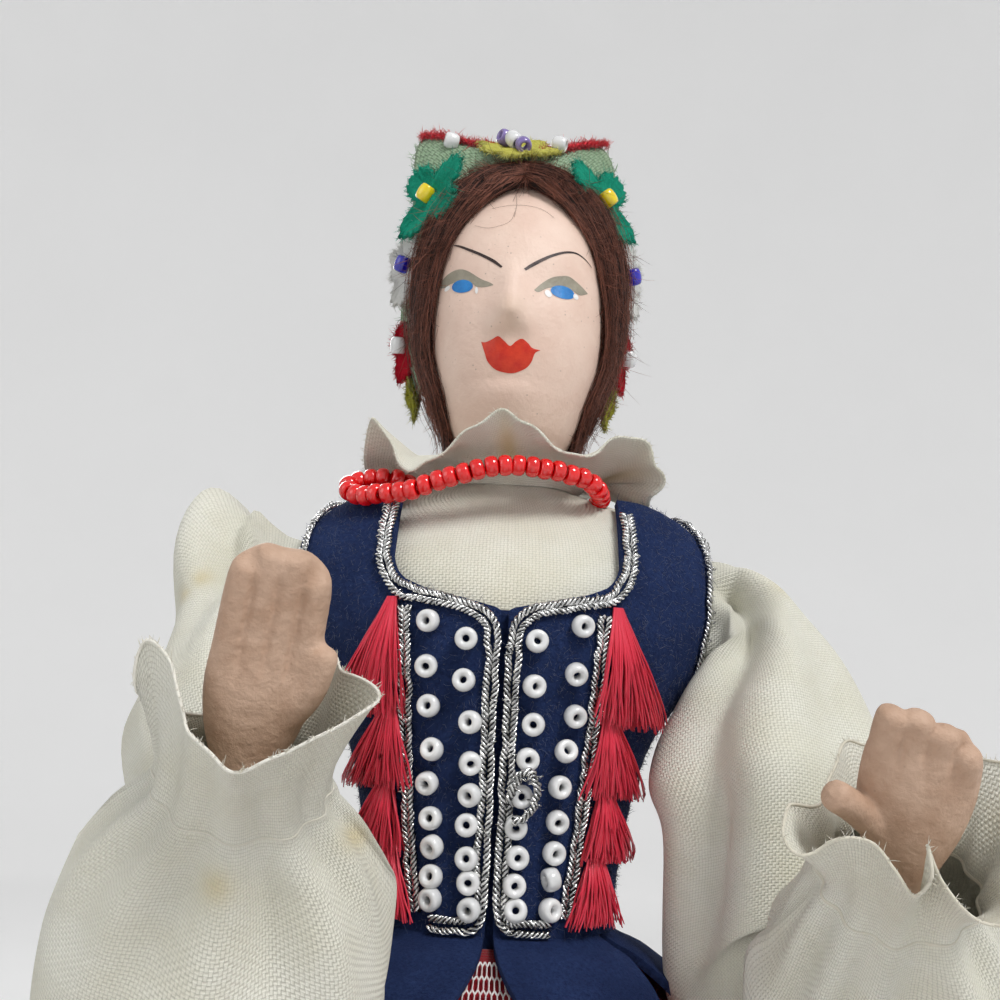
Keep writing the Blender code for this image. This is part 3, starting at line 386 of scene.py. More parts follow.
def samples(obj, count, seed):
    """Random points of an object's surface with their normals, in the doll's frame."""
    mesh = obj.data
    mesh.calc_loop_triangles()
    corners = np.zeros(len(mesh.loop_triangles) * 3, np.int32)
    mesh.loop_triangles.foreach_get("vertices", corners)
    places = np.zeros(len(mesh.vertices) * 3)
    mesh.vertices.foreach_get("co", places)
    triangles = in_doll(places.reshape(-1, 3))[corners.reshape(-1, 3)]
    a, b, c = triangles[:, 0], triangles[:, 1], triangles[:, 2]
    normals = np.cross(b - a, c - a)
    area = np.linalg.norm(normals, axis=1)
    random = dice(seed)
    pick = random.choice(len(area), count, p=area / area.sum())
    s, t = random.random((2, count, 1))
    flip = s + t > 1
    s, t = np.where(flip, 1 - s, s), np.where(flip, 1 - t, t)
    return a[pick] + (b - a)[pick] * s + (c - a)[pick] * t, unit(normals[pick])


def fuzz(name, places, normals, length, radius, lift=0.45, points=4):
    """Short curly fibres that stand off a surface."""
    random = dice(name)
    count = len(places)
    lean = unit(random.normal(size=(count, 3)))
    lean = unit(lean - normals * (lean * normals).sum(1, keepdims=True) + normals * lift)
    curl = random.normal(size=(count, 3)) * 0.5
    reach = length * (0.4 + random.random((count, 1)))
    t = np.linspace(0, 1, points)[None, :, None]
    paths = places[:, None] + (lean * reach)[:, None] * t + (curl * reach)[:, None] * t * t
    return strands(name, paths, radius, tones=random.random(count))


def thicken(obj, thickness):
    """Gives a sheet its thickness, half on each side."""
    modifier = obj.modifiers.new("thickness", "SOLIDIFY")
    modifier.thickness = thickness * MM
    modifier.offset = 0.0
    modifier.use_even_offset = False


def dress(obj, finish, body, *replaced, slot=None):
    """Gives a piece its material, its body and the solids that it stands for."""
    obj.data.materials.append(finish)
    if body is not None:
        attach(obj, body)
    if replaced:
        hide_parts(*replaced)
    return obj


# Materials


def node(made, kind, inputs=None, **settings):
    """A new shader node; an input's value is a number, a colour, or another node's socket."""
    new = made.node_tree.nodes.new("ShaderNode" + kind)
    for key, value in settings.items():
        setattr(new, key, value)
    for key, value in (inputs or {}).items():
        if isinstance(value, bpy.types.NodeSocket):
            made.node_tree.links.new(value, new.inputs[key])
        else:
            new.inputs[key].default_value = (*value, 1) if isinstance(value, tuple) else value
    return new


def shader_of(made):
    return made.node_tree.nodes["Principled BSDF"]


def connect(made, socket, name):
    made.node_tree.links.new(socket, shader_of(made).inputs[name])


def math_node(made, operation, first, second=0.0):
    return node(made, "Math", {0: first, 1: second}, operation=operation).outputs[0]


def mixed(made, share, first, second):
    """A colour between two, each a colour or a socket."""
    return node(made, "Mix", {0: share, 6: first, 7: second}, data_type="RGBA").outputs[2]


def ranged(made, value, low=0.0, high=1.0, to_low=0.0, to_high=1.0):
    """Moves a value from between two limits to between two others."""
    inputs = {"Value": value, "From Min": low, "From Max": high, "To Min": to_low, "To Max": to_high}
    return node(made, "MapRange", inputs).outputs[0]


def cloud(made, scale, detail=4.0, low=0.35, high=0.65, roughness=0.6):
    """Soft noise from 0 to 1; scale is in cells a metre."""
    place = node(made, "TexCoord").outputs["Object"]
    inputs = {"Vector": place, "Scale": scale, "Detail": detail, "Roughness": roughness}
    return ranged(made, node(made, "TexNoise", inputs).outputs[0], low, high)


def attribute(made, name):
    return node(made, "Attribute", attribute_name=name).outputs["Fac"]


def weave(made, pitch):
    """Height of a plain weave, threads over and under by turns, from the cloth's coordinates."""
    cloth = node(made, "UVMap", uv_map="cloth").outputs[0]
    split = node(made, "SeparateXYZ", {0: cloth}).outputs
    turns = [math_node(made, "MULTIPLY", split[k], math.pi / pitch) for k in (0, 1)]
    warp, weft = (math_node(made, "SINE", turn) for turn in turns)
    over = math_node(made, "GREATER_THAN", math_node(made, "MULTIPLY", warp, weft), 0.0)
    heights = [math_node(made, "ABSOLUTE", thread) for thread in (warp, weft)]
    return ranged(made, over, to_low=heights[0], to_high=heights[1])


def bump(made, height, distance):
    new = node(made, "Bump", {"Height": height, "Distance": distance * MM, "Strength": 1.0})
    connect(made, new.outputs[0], "Normal")


def finish(name, roughness, metallic=0.0, **sockets):
    """A material whose plain values sit on the shader; keys are socket names with _ for spaces."""
    made = bpy.data.materials.new(name)
    made.use_nodes = True
    values = {"Roughness": roughness, "Metallic": metallic, **sockets}
    for key, value in values.items():
        socket = shader_of(made).inputs[key.replace("_", " ")]
        socket.default_value = (*value, 1) if isinstance(value, tuple) else value
    return made


def cotton(name, light, shade, pitch, stain=(0.62, 0.46, 0.14), depth=0.07):
    """Plain woven cotton: threads with painted shade where they go under, soft patches of colour, and
    yellowed places from an attribute.
    """
    made = finish(name, 0.88, Sheen_Weight=0.12, Sheen_Roughness=0.5, Specular_IOR_Level=0.25)
    threads = weave(made, pitch)
    colour = mixed(made, cloud(made, 90, 5), shade, light)
    # Painted shade in the weave: where a thread goes under the other, its colour is darker.
    dark = tuple(0.74 * c for c in shade)
    colour = mixed(made, ranged(made, threads, high=0.6), dark, colour)
    colour = mixed(made, attribute(made, "stain"), colour, stain)
    connect(made, colour, "Base Color")
    grain = cloud(made, 2600, 2)
    bump(made, math_node(made, "ADD", threads, math_node(made, "MULTIPLY", grain, 0.35)), depth)
    return made


def felt(name, dark, light, scale=2200):
    """Pressed wool: matted fibres, paler where they stand up as a painted highlight."""
    wool = {"Sheen_Weight": 0.35, "Sheen_Roughness": 0.45, "Sheen_Tint": light, "Specular_IOR_Level": 0.15}
    made = finish(name, 0.95, **wool)
    mat = cloud(made, scale, 6, 0.3, 0.75, 0.75)
    patches = cloud(made, 160, 3)
    # The mat noise also makes the bump: painted highlight on its high places.
    colour = mixed(made, mat, dark, light)
    connect(made, mixed(made, math_node(made, "MULTIPLY", patches, 0.5), colour, dark), "Base Color")
    bump(made, mat, 0.25)
    return made


def fibre(name, dark, light, roughness=0.6, sheen=0.3, metallic=0.0, specular=0.5):
    """Threads and hairs: each strand has its own tone between two colours."""
    made = finish(name, roughness, metallic, Specular_IOR_Level=specular, Sheen_Weight=sheen)
    connect(made, mixed(made, attribute(made, "tone"), dark, light), "Base Color")
    return made


def glass(name, dark, light, roughness=0.12):
    """Opaque bead glass, a little uneven in colour from bead to bead and within it."""
    made = finish(name, roughness, Coat_Weight=0.6, Coat_Roughness=0.05, Specular_IOR_Level=0.6)
    spots = math_node(made, "MULTIPLY", cloud(made, 700, 2), 0.5)
    tone = node(made, "Math", {0: attribute(made, "tone"), 1: 0.5, 2: spots}, operation="MULTIPLY_ADD")
    connect(made, mixed(made, tone.outputs[0], dark, light), "Base Color")
    return made


def specked(made, colour, dark, strength):
    """A colour with a few dark specks in it."""
    place = node(made, "TexCoord").outputs["Object"]
    cells = node(made, "TexVoronoi", {"Vector": place, "Scale": 950.0}).outputs["Distance"]
    near = ranged(made, cells, 0.07, 0.16, 1.0, 0.0)
    some = cloud(made, 420, 1, 0.55, 0.62)
    speck = math_node(made, "MULTIPLY", math_node(made, "MULTIPLY", near, some), strength)
    return mixed(made, speck, colour, tuple(0.45 * c for c in dark))


def paint(name, light, dark, roughness, scale=140, specks=0.0, depth=0.05, wear_and_shade=None):
    """Brushed paint on composition: patches, brush marks, a few dark specks, and wear and painted shade from
    an attribute.
    """
    made = finish(name, roughness, Specular_IOR_Level=0.35)
    colour = mixed(made, cloud(made, scale, 4), dark, light)
    if specks:
        colour = specked(made, colour, dark, specks)
    if wear_and_shade:
        colour = mixed(made, attribute(made, "wear_and_shade"), colour, wear_and_shade)
    connect(made, colour, "Base Color")
    bump(made, cloud(made, 900, 5), depth)
    return made


CREAM = cotton("cream_cotton", (0.84, 0.83, 0.74), (0.76, 0.74, 0.62), 0.38, depth=0.08)
MUSLIN = cotton("stuffed_muslin", (0.70, 0.63, 0.50), (0.58, 0.50, 0.38), 0.5)
CREAM_THREAD = fibre("cream_thread", (0.66, 0.62, 0.50), (0.84, 0.82, 0.74), 0.85)
NAVY = felt("navy_felt", (0.008, 0.016, 0.060), (0.034, 0.064, 0.19))
NAVY_FUZZ = fibre("navy_fuzz", (0.010, 0.016, 0.060), (0.050, 0.075, 0.19), 0.9)
# Bright metal thread; the braid's tones between these two colours are painted glints.
SILVER = fibre("silver_braid", (0.26, 0.265, 0.27), (1.0, 1.0, 0.99), 0.2, 0.0, 1.0)
SILK = fibre("red_silk", (0.46, 0.003, 0.016), (0.82, 0.034, 0.080), 0.36, 0.08)
RED_COTTON = cotton("red_cotton", (0.40, 0.011, 0.020), (0.36, 0.009, 0.017), 0.4)
# White thread; its pinkish tone is painted red light from the skirt under it, seen through the thin thread.
NET = fibre("white_net", (0.78, 0.66, 0.64), (0.90, 0.86, 0.84), 0.8)
RED_GLASS = glass("red_glass", (0.72, 0.002, 0.003), (0.88, 0.005, 0.007))
WHITE_GLASS = glass("white_glass", (0.70, 0.71, 0.72), (0.88, 0.88, 0.88), 0.18)
YELLOW_GLASS = glass("yellow_glass", (0.78, 0.55, 0.0), (0.90, 0.72, 0.01))
BLUE_GLASS = glass("blue_glass", (0.004, 0.004, 0.30), (0.02, 0.015, 0.55))
PURPLE_GLASS = glass("purple_glass", (0.18, 0.12, 0.38), (0.36, 0.28, 0.60))
# The third colour is laid on from an attribute: paint rubbed at the nose tip, and painted shade under the
# nose.
SKIN_LIGHT, SKIN_DARK, SKIN_WEAR_AND_SHADE = (0.83, 0.635, 0.53), (0.77, 0.56, 0.46), (0.52, 0.37, 0.25)
SKIN = paint("painted_composition", SKIN_LIGHT, SKIN_DARK, 0.5, specks=0.6, wear_and_shade=SKIN_WEAR_AND_SHADE)
HAND_SKIN = paint("hand_composition", (0.60, 0.41, 0.30), (0.47, 0.30, 0.205), 0.6, 260, 0.3, 0.09)
LEG_SKIN = paint("leg_paint", (0.78, 0.60, 0.50), (0.70, 0.51, 0.41), 0.55)
BOOT_BLACK = paint("boot_paint", (0.022, 0.021, 0.022), (0.008, 0.008, 0.009), 0.3, 220)
LIP_RED = paint("lip_paint", (0.66, 0.050, 0.018), (0.55, 0.022, 0.010), 0.28, 500)
BROW_BROWN = paint("brow_paint", (0.055, 0.030, 0.026), (0.025, 0.014, 0.014), 0.45, 600)
LID_GREY = paint("lid_paint", (0.34, 0.31, 0.24), (0.27, 0.245, 0.19), 0.45, 500)
IRIS_BLUE = paint("iris_paint", (0.02, 0.23, 0.60), (0.01, 0.15, 0.45), 0.4, 600)
EYE_WHITE = paint("eye_white_paint", (0.88, 0.87, 0.86), (0.80, 0.79, 0.77), 0.4, 600)
MOHAIR = fibre("mohair", (0.007, 0.0025, 0.002), (0.36, 0.135, 0.088), 0.5, 0.0, specular=0.3)
SCALP = fibre("mohair_base", (0.012, 0.005, 0.004), (0.03, 0.012, 0.009), 0.8, 0.0)
GREEN = cotton("green_cloth", (0.36, 0.50, 0.33), (0.22, 0.33, 0.20), 0.6, (0.45, 0.5, 0.36), 0.22)
GREEN_THREAD = fibre("green_thread", (0.20, 0.32, 0.19), (0.42, 0.55, 0.38), 0.85)
CHENILLE = fibre("red_chenille", (0.42, 0.002, 0.012), (0.80, 0.016, 0.035), 0.7)
STEEL = finish("steel_wire", 0.35, 1.0, Base_Color=(0.55, 0.55, 0.55))
WOOD = paint("turned_wood", (0.56, 0.39, 0.21), (0.44, 0.28, 0.14), 0.6, 300)


# Head and painted face

NOSE = {"x": -1.5, "z": 244.7, "rise": 2.3, "half_width": 2.8, "half_height": 4.0}


def face_relief(x, z):
    """How far the face stands out from the egg: bridge, nose, sockets, cheeks and chin."""
    middle = NOSE["x"]
    tall = np.where(z > NOSE["z"], NOSE["half_height"], NOSE["half_height"] * 0.5)
    nose = NOSE["rise"] * bell(x, middle, NOSE["half_width"]) * bell(z, NOSE["z"], tall)
    tip = 0.6 * bell(x, middle, 2.2) * bell(z, NOSE["z"] - 0.6, 1.8)
    wings = sum(0.5 * bell(x, middle + s * 2.5, 1.0) * bell(z, NOSE["z"] - 1.9, 1.2) for s in (-1, 1))
    bridge = 0.8 * bell(x, middle, 1.7) * bell(z, NOSE["z"] + 5.5, 3.0)
    sockets = sum(-0.6 * bell(x, middle + s * 6.0, 3.6) * bell(z, 250.4, 2.8) for s in (-1, 1))
    chin = 0.5 * bell(x, middle, 4.5) * bell(z, 233.6, 2.6)
    under_lip = -0.25 * bell(x, middle, 3.5) * bell(z, 235.7, 0.9)
    return nose + tip + wings + bridge + sockets + chin + under_lip


def on_face(x, z, lift=0.0):
    """Points on the front of the head at x, z."""
    x, z = np.broadcast_arrays(np.asarray(x, float), np.asarray(z, float))
    row = along(HEAD, where(HEAD, z))
    share = np.clip(x / np.maximum(row[..., 1], 1e-3), -0.995, 0.995)
    y = -row[..., 2] * np.sqrt(1 - share * share) - face_relief(x, z) - lift
    return np.stack([x, y, z], -1)


def build_head():
    u, v = mesh_grid(160, 150, wrap=True)
    points = oval([NECK] + HEAD, v, TURN * u)
    front = smooth(-points[..., 1], 1.0, 6.0)
    points[..., 1] -= front * face_relief(points[..., 0], points[..., 2])
    skin = grid("head_skin", points, wrap=True)
    x, _, z = np.moveaxis(points, -1, 0)
    # Paint rubbed at the nose's tip, and painted shade under the nose (base), both in the worn paint's
    # colour.
    tip = bell(x, NOSE["x"] + 0.2, 1.9) * bell(z, NOSE["z"] + 0.2, 2.0)
    base = bell(x, NOSE["x"], 2.4) * bell(z, NOSE["z"] - 2.3, 1.0)
    set_attribute(skin, "wear_and_shade", front * (0.38 * tip + 0.26 * base))
    dress(skin, SKIN, "head_group", "head", slot="painted_composition")


# How far each coat of paint lies over the skin, a later one over an earlier one.
SHAPE_COAT, STROKE_COAT, IRIS_COAT, WHITE_COAT = 0.05, 0.06, 0.08, 0.09


def paint_on_face(name, x, z, lift, finish_used, wrap=False):
    """Paint as a thin skin of its own, over points of the face."""
    skin = grid(name, on_face(x, z, lift), wrap=wrap, flip=not wrap)
    dress(skin, finish_used, "head_group", slot="painted_composition")


def between(name, lower, upper, finish_used, count=40, rows=12, crown=0.0):
    """A painted shape on the face between two lines of x, z points that share their ends."""
    u, v = mesh_grid(count, rows)
    low, high = along(lower, u), along(upper, u)
    x, z = np.moveaxis(low + (high - low) * v[..., None], -1, 0)
    raised = SHAPE_COAT + crown * np.sin(math.pi * v) * np.sin(math.pi * u)
    paint_on_face(name, x, z, raised, finish_used)


def stroke(name, line, widths):
    """A brow's brush stroke: a ribbon along x, z points, of the given half widths."""
    u, v = mesh_grid(48, 5)
    step = along(line, np.minimum(u + 0.01, 1)) - along(line, np.maximum(u - 0.01, 0))
    aside = unit(np.stack([-step[..., 1], step[..., 0]], -1))
    half = along(np.asarray(widths)[:, None], u)
    x, z = np.moveaxis(along(line, u) + aside * half * (2 * v[..., None] - 1), -1, 0)
    paint_on_face(name, x, z, STROKE_COAT, BROW_BROWN)


def dab(name, centre, half_sizes, tilt, finish_used, lift):
    """A round touch of paint, or an iris."""
    u, v = mesh_grid(32, 7, wrap=True)
    across, up = half_sizes[0] * v * np.cos(TURN * u), half_sizes[1] * v * np.sin(TURN * u)
    x = centre[0] + across * math.cos(tilt) - up * math.sin(tilt)
    z = centre[1] + across * math.sin(tilt) + up * math.cos(tilt)
    paint_on_face(name, x, z, lift, finish_used, wrap=True)


# Painted lines of the face: x, z.
LIP_UPPER = [
    (-5.4, 240.95), (-4.75, 240.8), (-3.8, 241.1), (-2.9, 241.45), (-1.95, 240.75), (-1.1, 240.1),
    (-0.3, 240.75), (0.6, 241.15), (1.55, 240.6), (2.15, 240.05), (3.4, 239.85),
]
LIP_LOWER = [
    (-5.4, 240.95), (-4.8, 239.3), (-4.3, 238.05), (-3.3, 237.0), (-2.15, 236.5), (-0.45, 236.35),
    (1.2, 237.0), (2.1, 238.0), (2.6, 239.35), (3.4, 239.85),
]
RIGHT_BROW = [
    (-10.7, 258.7), (-9.85, 258.0), (-8.1, 256.45), (-5.95, 254.85), (-4.2, 253.55), (-2.95, 252.3),
]
LEFT_BROW = [
    (0.5, 252.0), (1.55, 252.95), (3.2, 254.2), (4.95, 255.4),
    (6.7, 256.4), (8.25, 256.9), (9.7, 256.65), (10.9, 255.9),
]
RIGHT_LID_UPPER = [
    (-12.7, 252.5), (-11.85, 253.4), (-10.6, 253.7), (-9.25, 253.5),
    (-7.9, 252.7), (-6.05, 251.1), (-4.55, 250.05), (-4.05, 249.45),
]
RIGHT_LID_LOWER = [
    (-12.7, 252.5), (-11.7, 251.6), (-10.65, 251.7), (-8.8, 251.35),
    (-7.15, 250.5), (-6.7, 250.0), (-5.4, 249.5), (-4.05, 249.45),
]
LEFT_LID_UPPER = [
    (2.0, 248.85), (3.1, 250.3), (4.5, 251.55), (5.8, 252.1),
    (7.15, 252.45), (8.35, 252.05), (9.65, 251.4), (10.35, 250.95),
]
LEFT_LID_LOWER = [
    (2.0, 248.85), (2.7, 248.7), (3.85, 249.65), (4.85, 250.1),
    (6.3, 250.5), (7.8, 250.35), (9.05, 250.05), (10.35, 250.95),
]
RIGHT_BROW_HALF_WIDTHS = [0.06, 0.14, 0.20, 0.22, 0.24, 0.16]
LEFT_BROW_HALF_WIDTHS = [0.2, 0.26, 0.24, 0.2, 0.18, 0.15, 0.1, 0.04]
# Dabs of paint: x and z of the middle, half width and half height, tilt.
IRISES = {
    "right_iris": ((-8.8, 250.6), (1.75, 1.02), -0.42),
    "left_iris": ((6.35, 249.6), (1.85, 1.08), 0.06),
}
EYE_WHITES = {
    "right_eye_white_outer": ((-11.2, 251.2), (0.45, 0.4), 0),
    "right_eye_white_inner": ((-6.55, 249.25), (0.22, 0.62), 0.1),
    "left_eye_white_inner": ((4.15, 248.8), (0.5, 0.62), 0.5),
    "left_eye_white_outer": ((8.4, 249.5), (0.42, 0.45), 0),
}
# Fine hairs that lie loose on the forehead.
STRAY_HAIRS = [
    [(-1.4, 267.6), (-1.2, 264.5), (-1.5, 261.6)],
    [(-7.5, 261.0), (-5.1, 259.8), (-2.2, 260.7), (-1.4, 263.1)],
    [(-5.0, 264.0), (-1.2, 264.4), (2.4, 264.0), (4.8, 262.4)],
]


def build_face():
    between("lips", LIP_LOWER, LIP_UPPER, LIP_RED, 70, 24, crown=0.22)
    stroke("right_brow", RIGHT_BROW, RIGHT_BROW_HALF_WIDTHS)
    stroke("left_brow", LEFT_BROW, LEFT_BROW_HALF_WIDTHS)
    between("right_lid", RIGHT_LID_LOWER, RIGHT_LID_UPPER, LID_GREY)
    between("left_lid", LEFT_LID_LOWER, LEFT_LID_UPPER, LID_GREY)
    for name, shape in IRISES.items():
        dab(name, *shape, IRIS_BLUE, IRIS_COAT)
    for name, shape in EYE_WHITES.items():
        dab(name, *shape, EYE_WHITE, WHITE_COAT)
    lines = [along(line, np.linspace(0, 1, 14)) for line in STRAY_HAIRS]
    mohair(strands("stray_hairs", [on_face(line[:, 0], line[:, 1], 0.12) for line in lines], 0.022))


# Wig: strands from the parting down both sides, over a base

HAIR_TOP_Z, HAIR_END_Z = HAIRLINE[0][1], 229.0
HEAD_MIDDLE = np.array([0, 2.0, 252.0])
STRANDS_A_SIDE, LOCKS_A_SIDE, HAIR_POINTS = 3400, 110, 32
FLYAWAYS, CRINKLES, EDGE_HAIRS = 1400, 5200, 1100
# Share of the way round the head, from the face, where strands fill the hair from the skin out.
EDGE_SHARE = 0.05


def mohair(obj, *replaced):
    dress(obj, MOHAIR, "head_group", *replaced, slot="mohair")


def hair_form(z, depth):
    """Half width, front and back of the hair, from the head's surface (0) to the wig's (1)."""
    head = along(HEAD, where(HEAD, np.minimum(z, 273.9)))[..., 1:] + 0.25
    wig = along(WIG, where(WIG, z))[..., 1:]
    return np.moveaxis(head + (wig - head) * depth[..., None], -1, 0)


def hair_paths(q, side, depth, points, end_z):
    """Strands at a share q from the face's edge (0) to the back of the head (1), combed from the
    parting down one side."""
    q, depth, end_z = q[:, None], depth[:, None], end_z[:, None]
    crown = np.linspace(HAIR_TOP_Z, WIG[-1][0], 60)
    _, front, back = hair_form(crown, np.ones(60))
    first, last = -front[0], back[0]
    start_y = first + (last - first) * q
    top = np.interp(start_y, np.concatenate([-front, back[::-1]]), np.concatenate([crown, crown[::-1]]))
    z = top + (end_z - top) * np.linspace(0, 1, points)[None, :] ** 1.9
    half, front, back = hair_form(z, depth + 0 * z)
    line = along(HAIRLINE, np.linspace(0, 1, 300))
    edges = np.interp(z, line[::-1, 1], line[::-1, 0])
    edge_y = -front * np.sqrt(np.clip(1 - (edges / half) ** 2, 0, 1))
    edge_y = np.where(z > HAIR_TOP_Z, first, edge_y)
    back_y = np.where(z > HAIR_TOP_Z, last, back)
    y = edge_y + (back_y - edge_y) * q
    deep = np.where(y < 0, front, back)
    x = side * half * np.sqrt(np.clip(1 - (y / np.maximum(deep, 1e-3)) ** 2, 0, 1))
    return np.stack([x, y, z], -1)


def wig_side(random, side):
    """One side's strands, drawn together into locks and crimped, and each one's tones, with painted
    highlights.
    """
    count = STRANDS_A_SIDE
    q = random.random(count)
    q[: count // 8] *= EDGE_SHARE
    locks = np.sort(random.random(LOCKS_A_SIDE))
    nearest = np.abs(q[:, None] - locks).argmin(1)
    depth = 1.02 - 0.28 * random.random(count)
    depth = np.where(q < EDGE_SHARE, random.random(count), depth)
    end_z = HAIR_END_Z + random.normal(size=count) * 1.4
    free = hair_paths(q, side, depth, HAIR_POINTS, end_z)
    drawn = hair_paths(locks[nearest], side, depth, HAIR_POINTS, end_z)
    s = np.linspace(0, 1, HAIR_POINTS)[None, :]
    pull = (0.5 * smooth(s, 0.1, 0.9) * (q >= EDGE_SHARE)[:, None])[..., None]
    paths = free + (drawn - free) * pull
    wave = np.sin((38 + 40 * random.random((count, 1))) * s + TURN * random.random((count, 1)))
    crimp = (0.08 + 0.26 * random.random((count, 1))) * wave * smooth(s, 0.03, 0.15)
    across_back = 3.2 * random.random((count, 1)) * smooth(q, 0.86, 1.0)[:, None] * smooth(s, 0.05, 0.5)
    paths[..., 0] -= side * across_back
    paths[..., 1] += crimp
    paths[..., 0] += side * 0.5 * crimp
    # Tones: each lock's and strand's own, with painted highlight along the crimp's wave and in patches along
    # each lock, and darker towards a strand's end.
    tone = 0.34 + random.normal(0, 0.16, LOCKS_A_SIDE)[nearest] + random.normal(0, 0.22, count)
    painted_highlight = np.sin(34 * s + TURN * random.random((LOCKS_A_SIDE, 1)))[nearest]
    return paths, np.clip(tone[:, None] + 0.18 * wave + 0.14 * painted_highlight - 0.3 * smooth(s, 0.2, 0.8), 0, 1)


def build_wig():
    random = dice("wig")
    sides = [wig_side(random, side) for side in SIDES.values()]
    paths, tones = (np.concatenate(values) for values in zip(*sides))
    radius = 0.045 + 0.04 * dice("hair").random(len(paths))
    mohair(strands("wig_strands", paths, radius, tones=tones), "wig")
    build_loose_hair(random, paths)
    build_hairline_fuzz()
    for name, side in SIDES.items():
        q = np.concatenate([np.zeros(8), np.linspace(0, 1, 70)])
        depth = np.concatenate([np.linspace(0.0, 0.7, 8), np.full(70, 0.72)])
        base = hair_paths(q, side, depth, 40, np.full(q.size, HAIR_END_Z))
        dress(grid(f"wig_base_{name}", base, flip=side > 0), SCALP, "head_group", slot="mohair")


def build_loose_hair(random, paths):
    """Strands that wander off the wig, and short crinkled hairs that stand off it."""
    pick = random.integers(0, len(paths), FLYAWAYS)
    loose = paths[pick] + np.cumsum(random.normal(size=(FLYAWAYS, HAIR_POINTS, 3)) * 0.14, axis=1)
    mohair(strands("wig_flyaways", loose, 0.028))
    start, step = random.integers(0, len(paths), CRINKLES), random.integers(1, HAIR_POINTS - 1, CRINKLES)
    places, ahead = paths[start, step], unit(paths[start, step + 1] - paths[start, step - 1])
    ways = unit(ahead + 0.45 * unit(places - HEAD_MIDDLE))
    mohair(fuzz("wig_crinkle", places, ways, 2.4, 0.03, lift=2.2, points=6))


def build_hairline_fuzz():
    """Short fine hairs that stray from the wig's edge over the face."""
    random = dice("hairline")
    edge = along(HAIRLINE, random.random(EDGE_HAIRS) ** 0.8)
    side = np.where(random.random(EDGE_HAIRS) < 0.5, -1.0, 1.0)
    roots = on_face(side * (edge[:, 0] + 0.5), edge[:, 1] + 0.3, 0.25)
    down = -0.2 - 0.8 * random.random(EDGE_HAIRS)
    inward = unit(np.stack([-side, np.full(EDGE_HAIRS, -0.25), down], -1))
    mohair(fuzz("hairline_fuzz", roots, inward, 1.5, 0.025, lift=1.3, points=6))


# Headband, chenille cord and flowers


def band_point(u, v):
    """The band's cloth from its edge on the hair to its flared edge; u runs tip to tip."""
    u, v = np.broadcast_arrays(np.asarray(u, float), np.asarray(v, float))
    side = np.where(u < 0.5, -1, 1)
    share = np.where(u < 0.5, 2 * u, 2 - 2 * u)
    inner, outer = along(BAND_INNER, share), along(BAND_OUTER, share)
    x, y, z = np.moveaxis(inner + (outer - inner) * v[..., None], -1, 0)
    x = x - np.where(side > 0, BAND_SNUG * smooth(x, 4, 13), 0)
    lean = BAND_LEAN * np.maximum(z - BAND_LEAN_FROM, 0)
    return np.stack([side * x + lean, y, z + 0.6], -1)


# A point inside the band; how deep its tucked edge sinks; its thickness; frayed threads an edge.
BAND_MIDDLE = np.array([0, 4.0, 252.0])
BAND_SINK, BAND_THICK, FRAYED_THREADS = 2.2, 0.6, 520


def band_frame(u, v):
    """Along the band, over the band, and out of it."""
    ahead = unit(band_point(np.minimum(u + 0.01, 1), v) - band_point(np.maximum(u - 0.01, 0), v))
    over = unit(band_point(u, np.minimum(v + 0.1, 1)) - band_point(u, np.maximum(v - 0.1, 0)))
    out = unit(np.cross(over, ahead))
    from_middle = band_point(u, v) - BAND_MIDDLE
    return ahead, over, np.where((out * from_middle).sum(-1, keepdims=True) < 0, -out, out)


def build_headband():
    u, v = mesh_grid(200, 26)
    v = (1 + BAND_TUCK) * v - BAND_TUCK
    points = band_point(u, v)
    out = band_frame(u, v)[2]
    random = dice("band")
    points = points - out * (BAND_SINK * smooth(-v, 0, BAND_TUCK))[..., None]
    ripple = 0.25 * np.sin(23 * u + 4 * v) * np.sin(9 * v) + random.normal(size=u.shape) * 0.02
    points = points + out * ripple[..., None]
    band = grid("headband_cloth", points)
    set_attribute(band, "stain", 0.25 * smooth(np.abs(v - 0.5), 0.35, 0.5))
    thicken(band, BAND_THICK)
    dress(band, GREEN, "head_group", "headband", slot="green_cloth")
    declare_sheet(band, points)
    ends, ways = [], []
    for v_edge, way in ((0.0, -1.0), (1.0, 1.0)):
        u_edge = random.random(FRAYED_THREADS)
        ends.append(band_point(u_edge, v_edge))
        ways.append(band_frame(u_edge, np.full(FRAYED_THREADS, v_edge))[1] * way)
    fray = fuzz("headband_fray", np.concatenate(ends), np.concatenate(ways), 0.9, 0.06, lift=1.6)
    dress(fray, GREEN_THREAD, "head_group", slot="green_cloth")
    build_chenille()


# Each arm's place along the band and across it, corner to flower.
CHENILLE_ARMS = [((0.392, 1.0), (0.462, 0.45)), ((0.608, 1.06), (0.54, 0.30))]
CHENILLE_POINTS, CHENILLE_TWISTS, CHENILLE_PILE = 40, 9, 3600


def build_chenille():
    """A furry cord in two arms along the band's upper edge, each from a corner to the flower."""
    random = dice("chenille")
    spin = TURN * CHENILLE_TWISTS * np.linspace(0, 1, CHENILLE_POINTS)
    twist = np.stack([np.zeros(CHENILLE_POINTS), np.cos(spin), np.sin(spin)], -1) * 0.2
    cores, cords = [], []
    for arm in CHENILLE_ARMS:
        u, v = np.moveaxis(np.linspace(*arm, CHENILLE_POINTS), -1, 0)
        core = band_point(u, v) + band_frame(u, v)[2] * 0.6 + np.array([0, 0, 0.4])
        cores.append(core)
        cords += [core + twist, core - twist]
    cord = strands("headband_chenille", cords, 0.28, 6, 1.0)
    dress(cord, CHENILLE, "head_group", "headband_cord", slot="red_chenille")
    cores = np.concatenate(cores)
    places = cores[random.integers(0, len(cores), CHENILLE_PILE)]
    places = places + random.normal(size=places.shape) * 0.15
    pile = fuzz("chenille_pile", places, unit(random.normal(size=places.shape)), 0.72, 0.045, lift=3.0)
    dress(pile, CHENILLE, "head_group", slot="red_chenille")


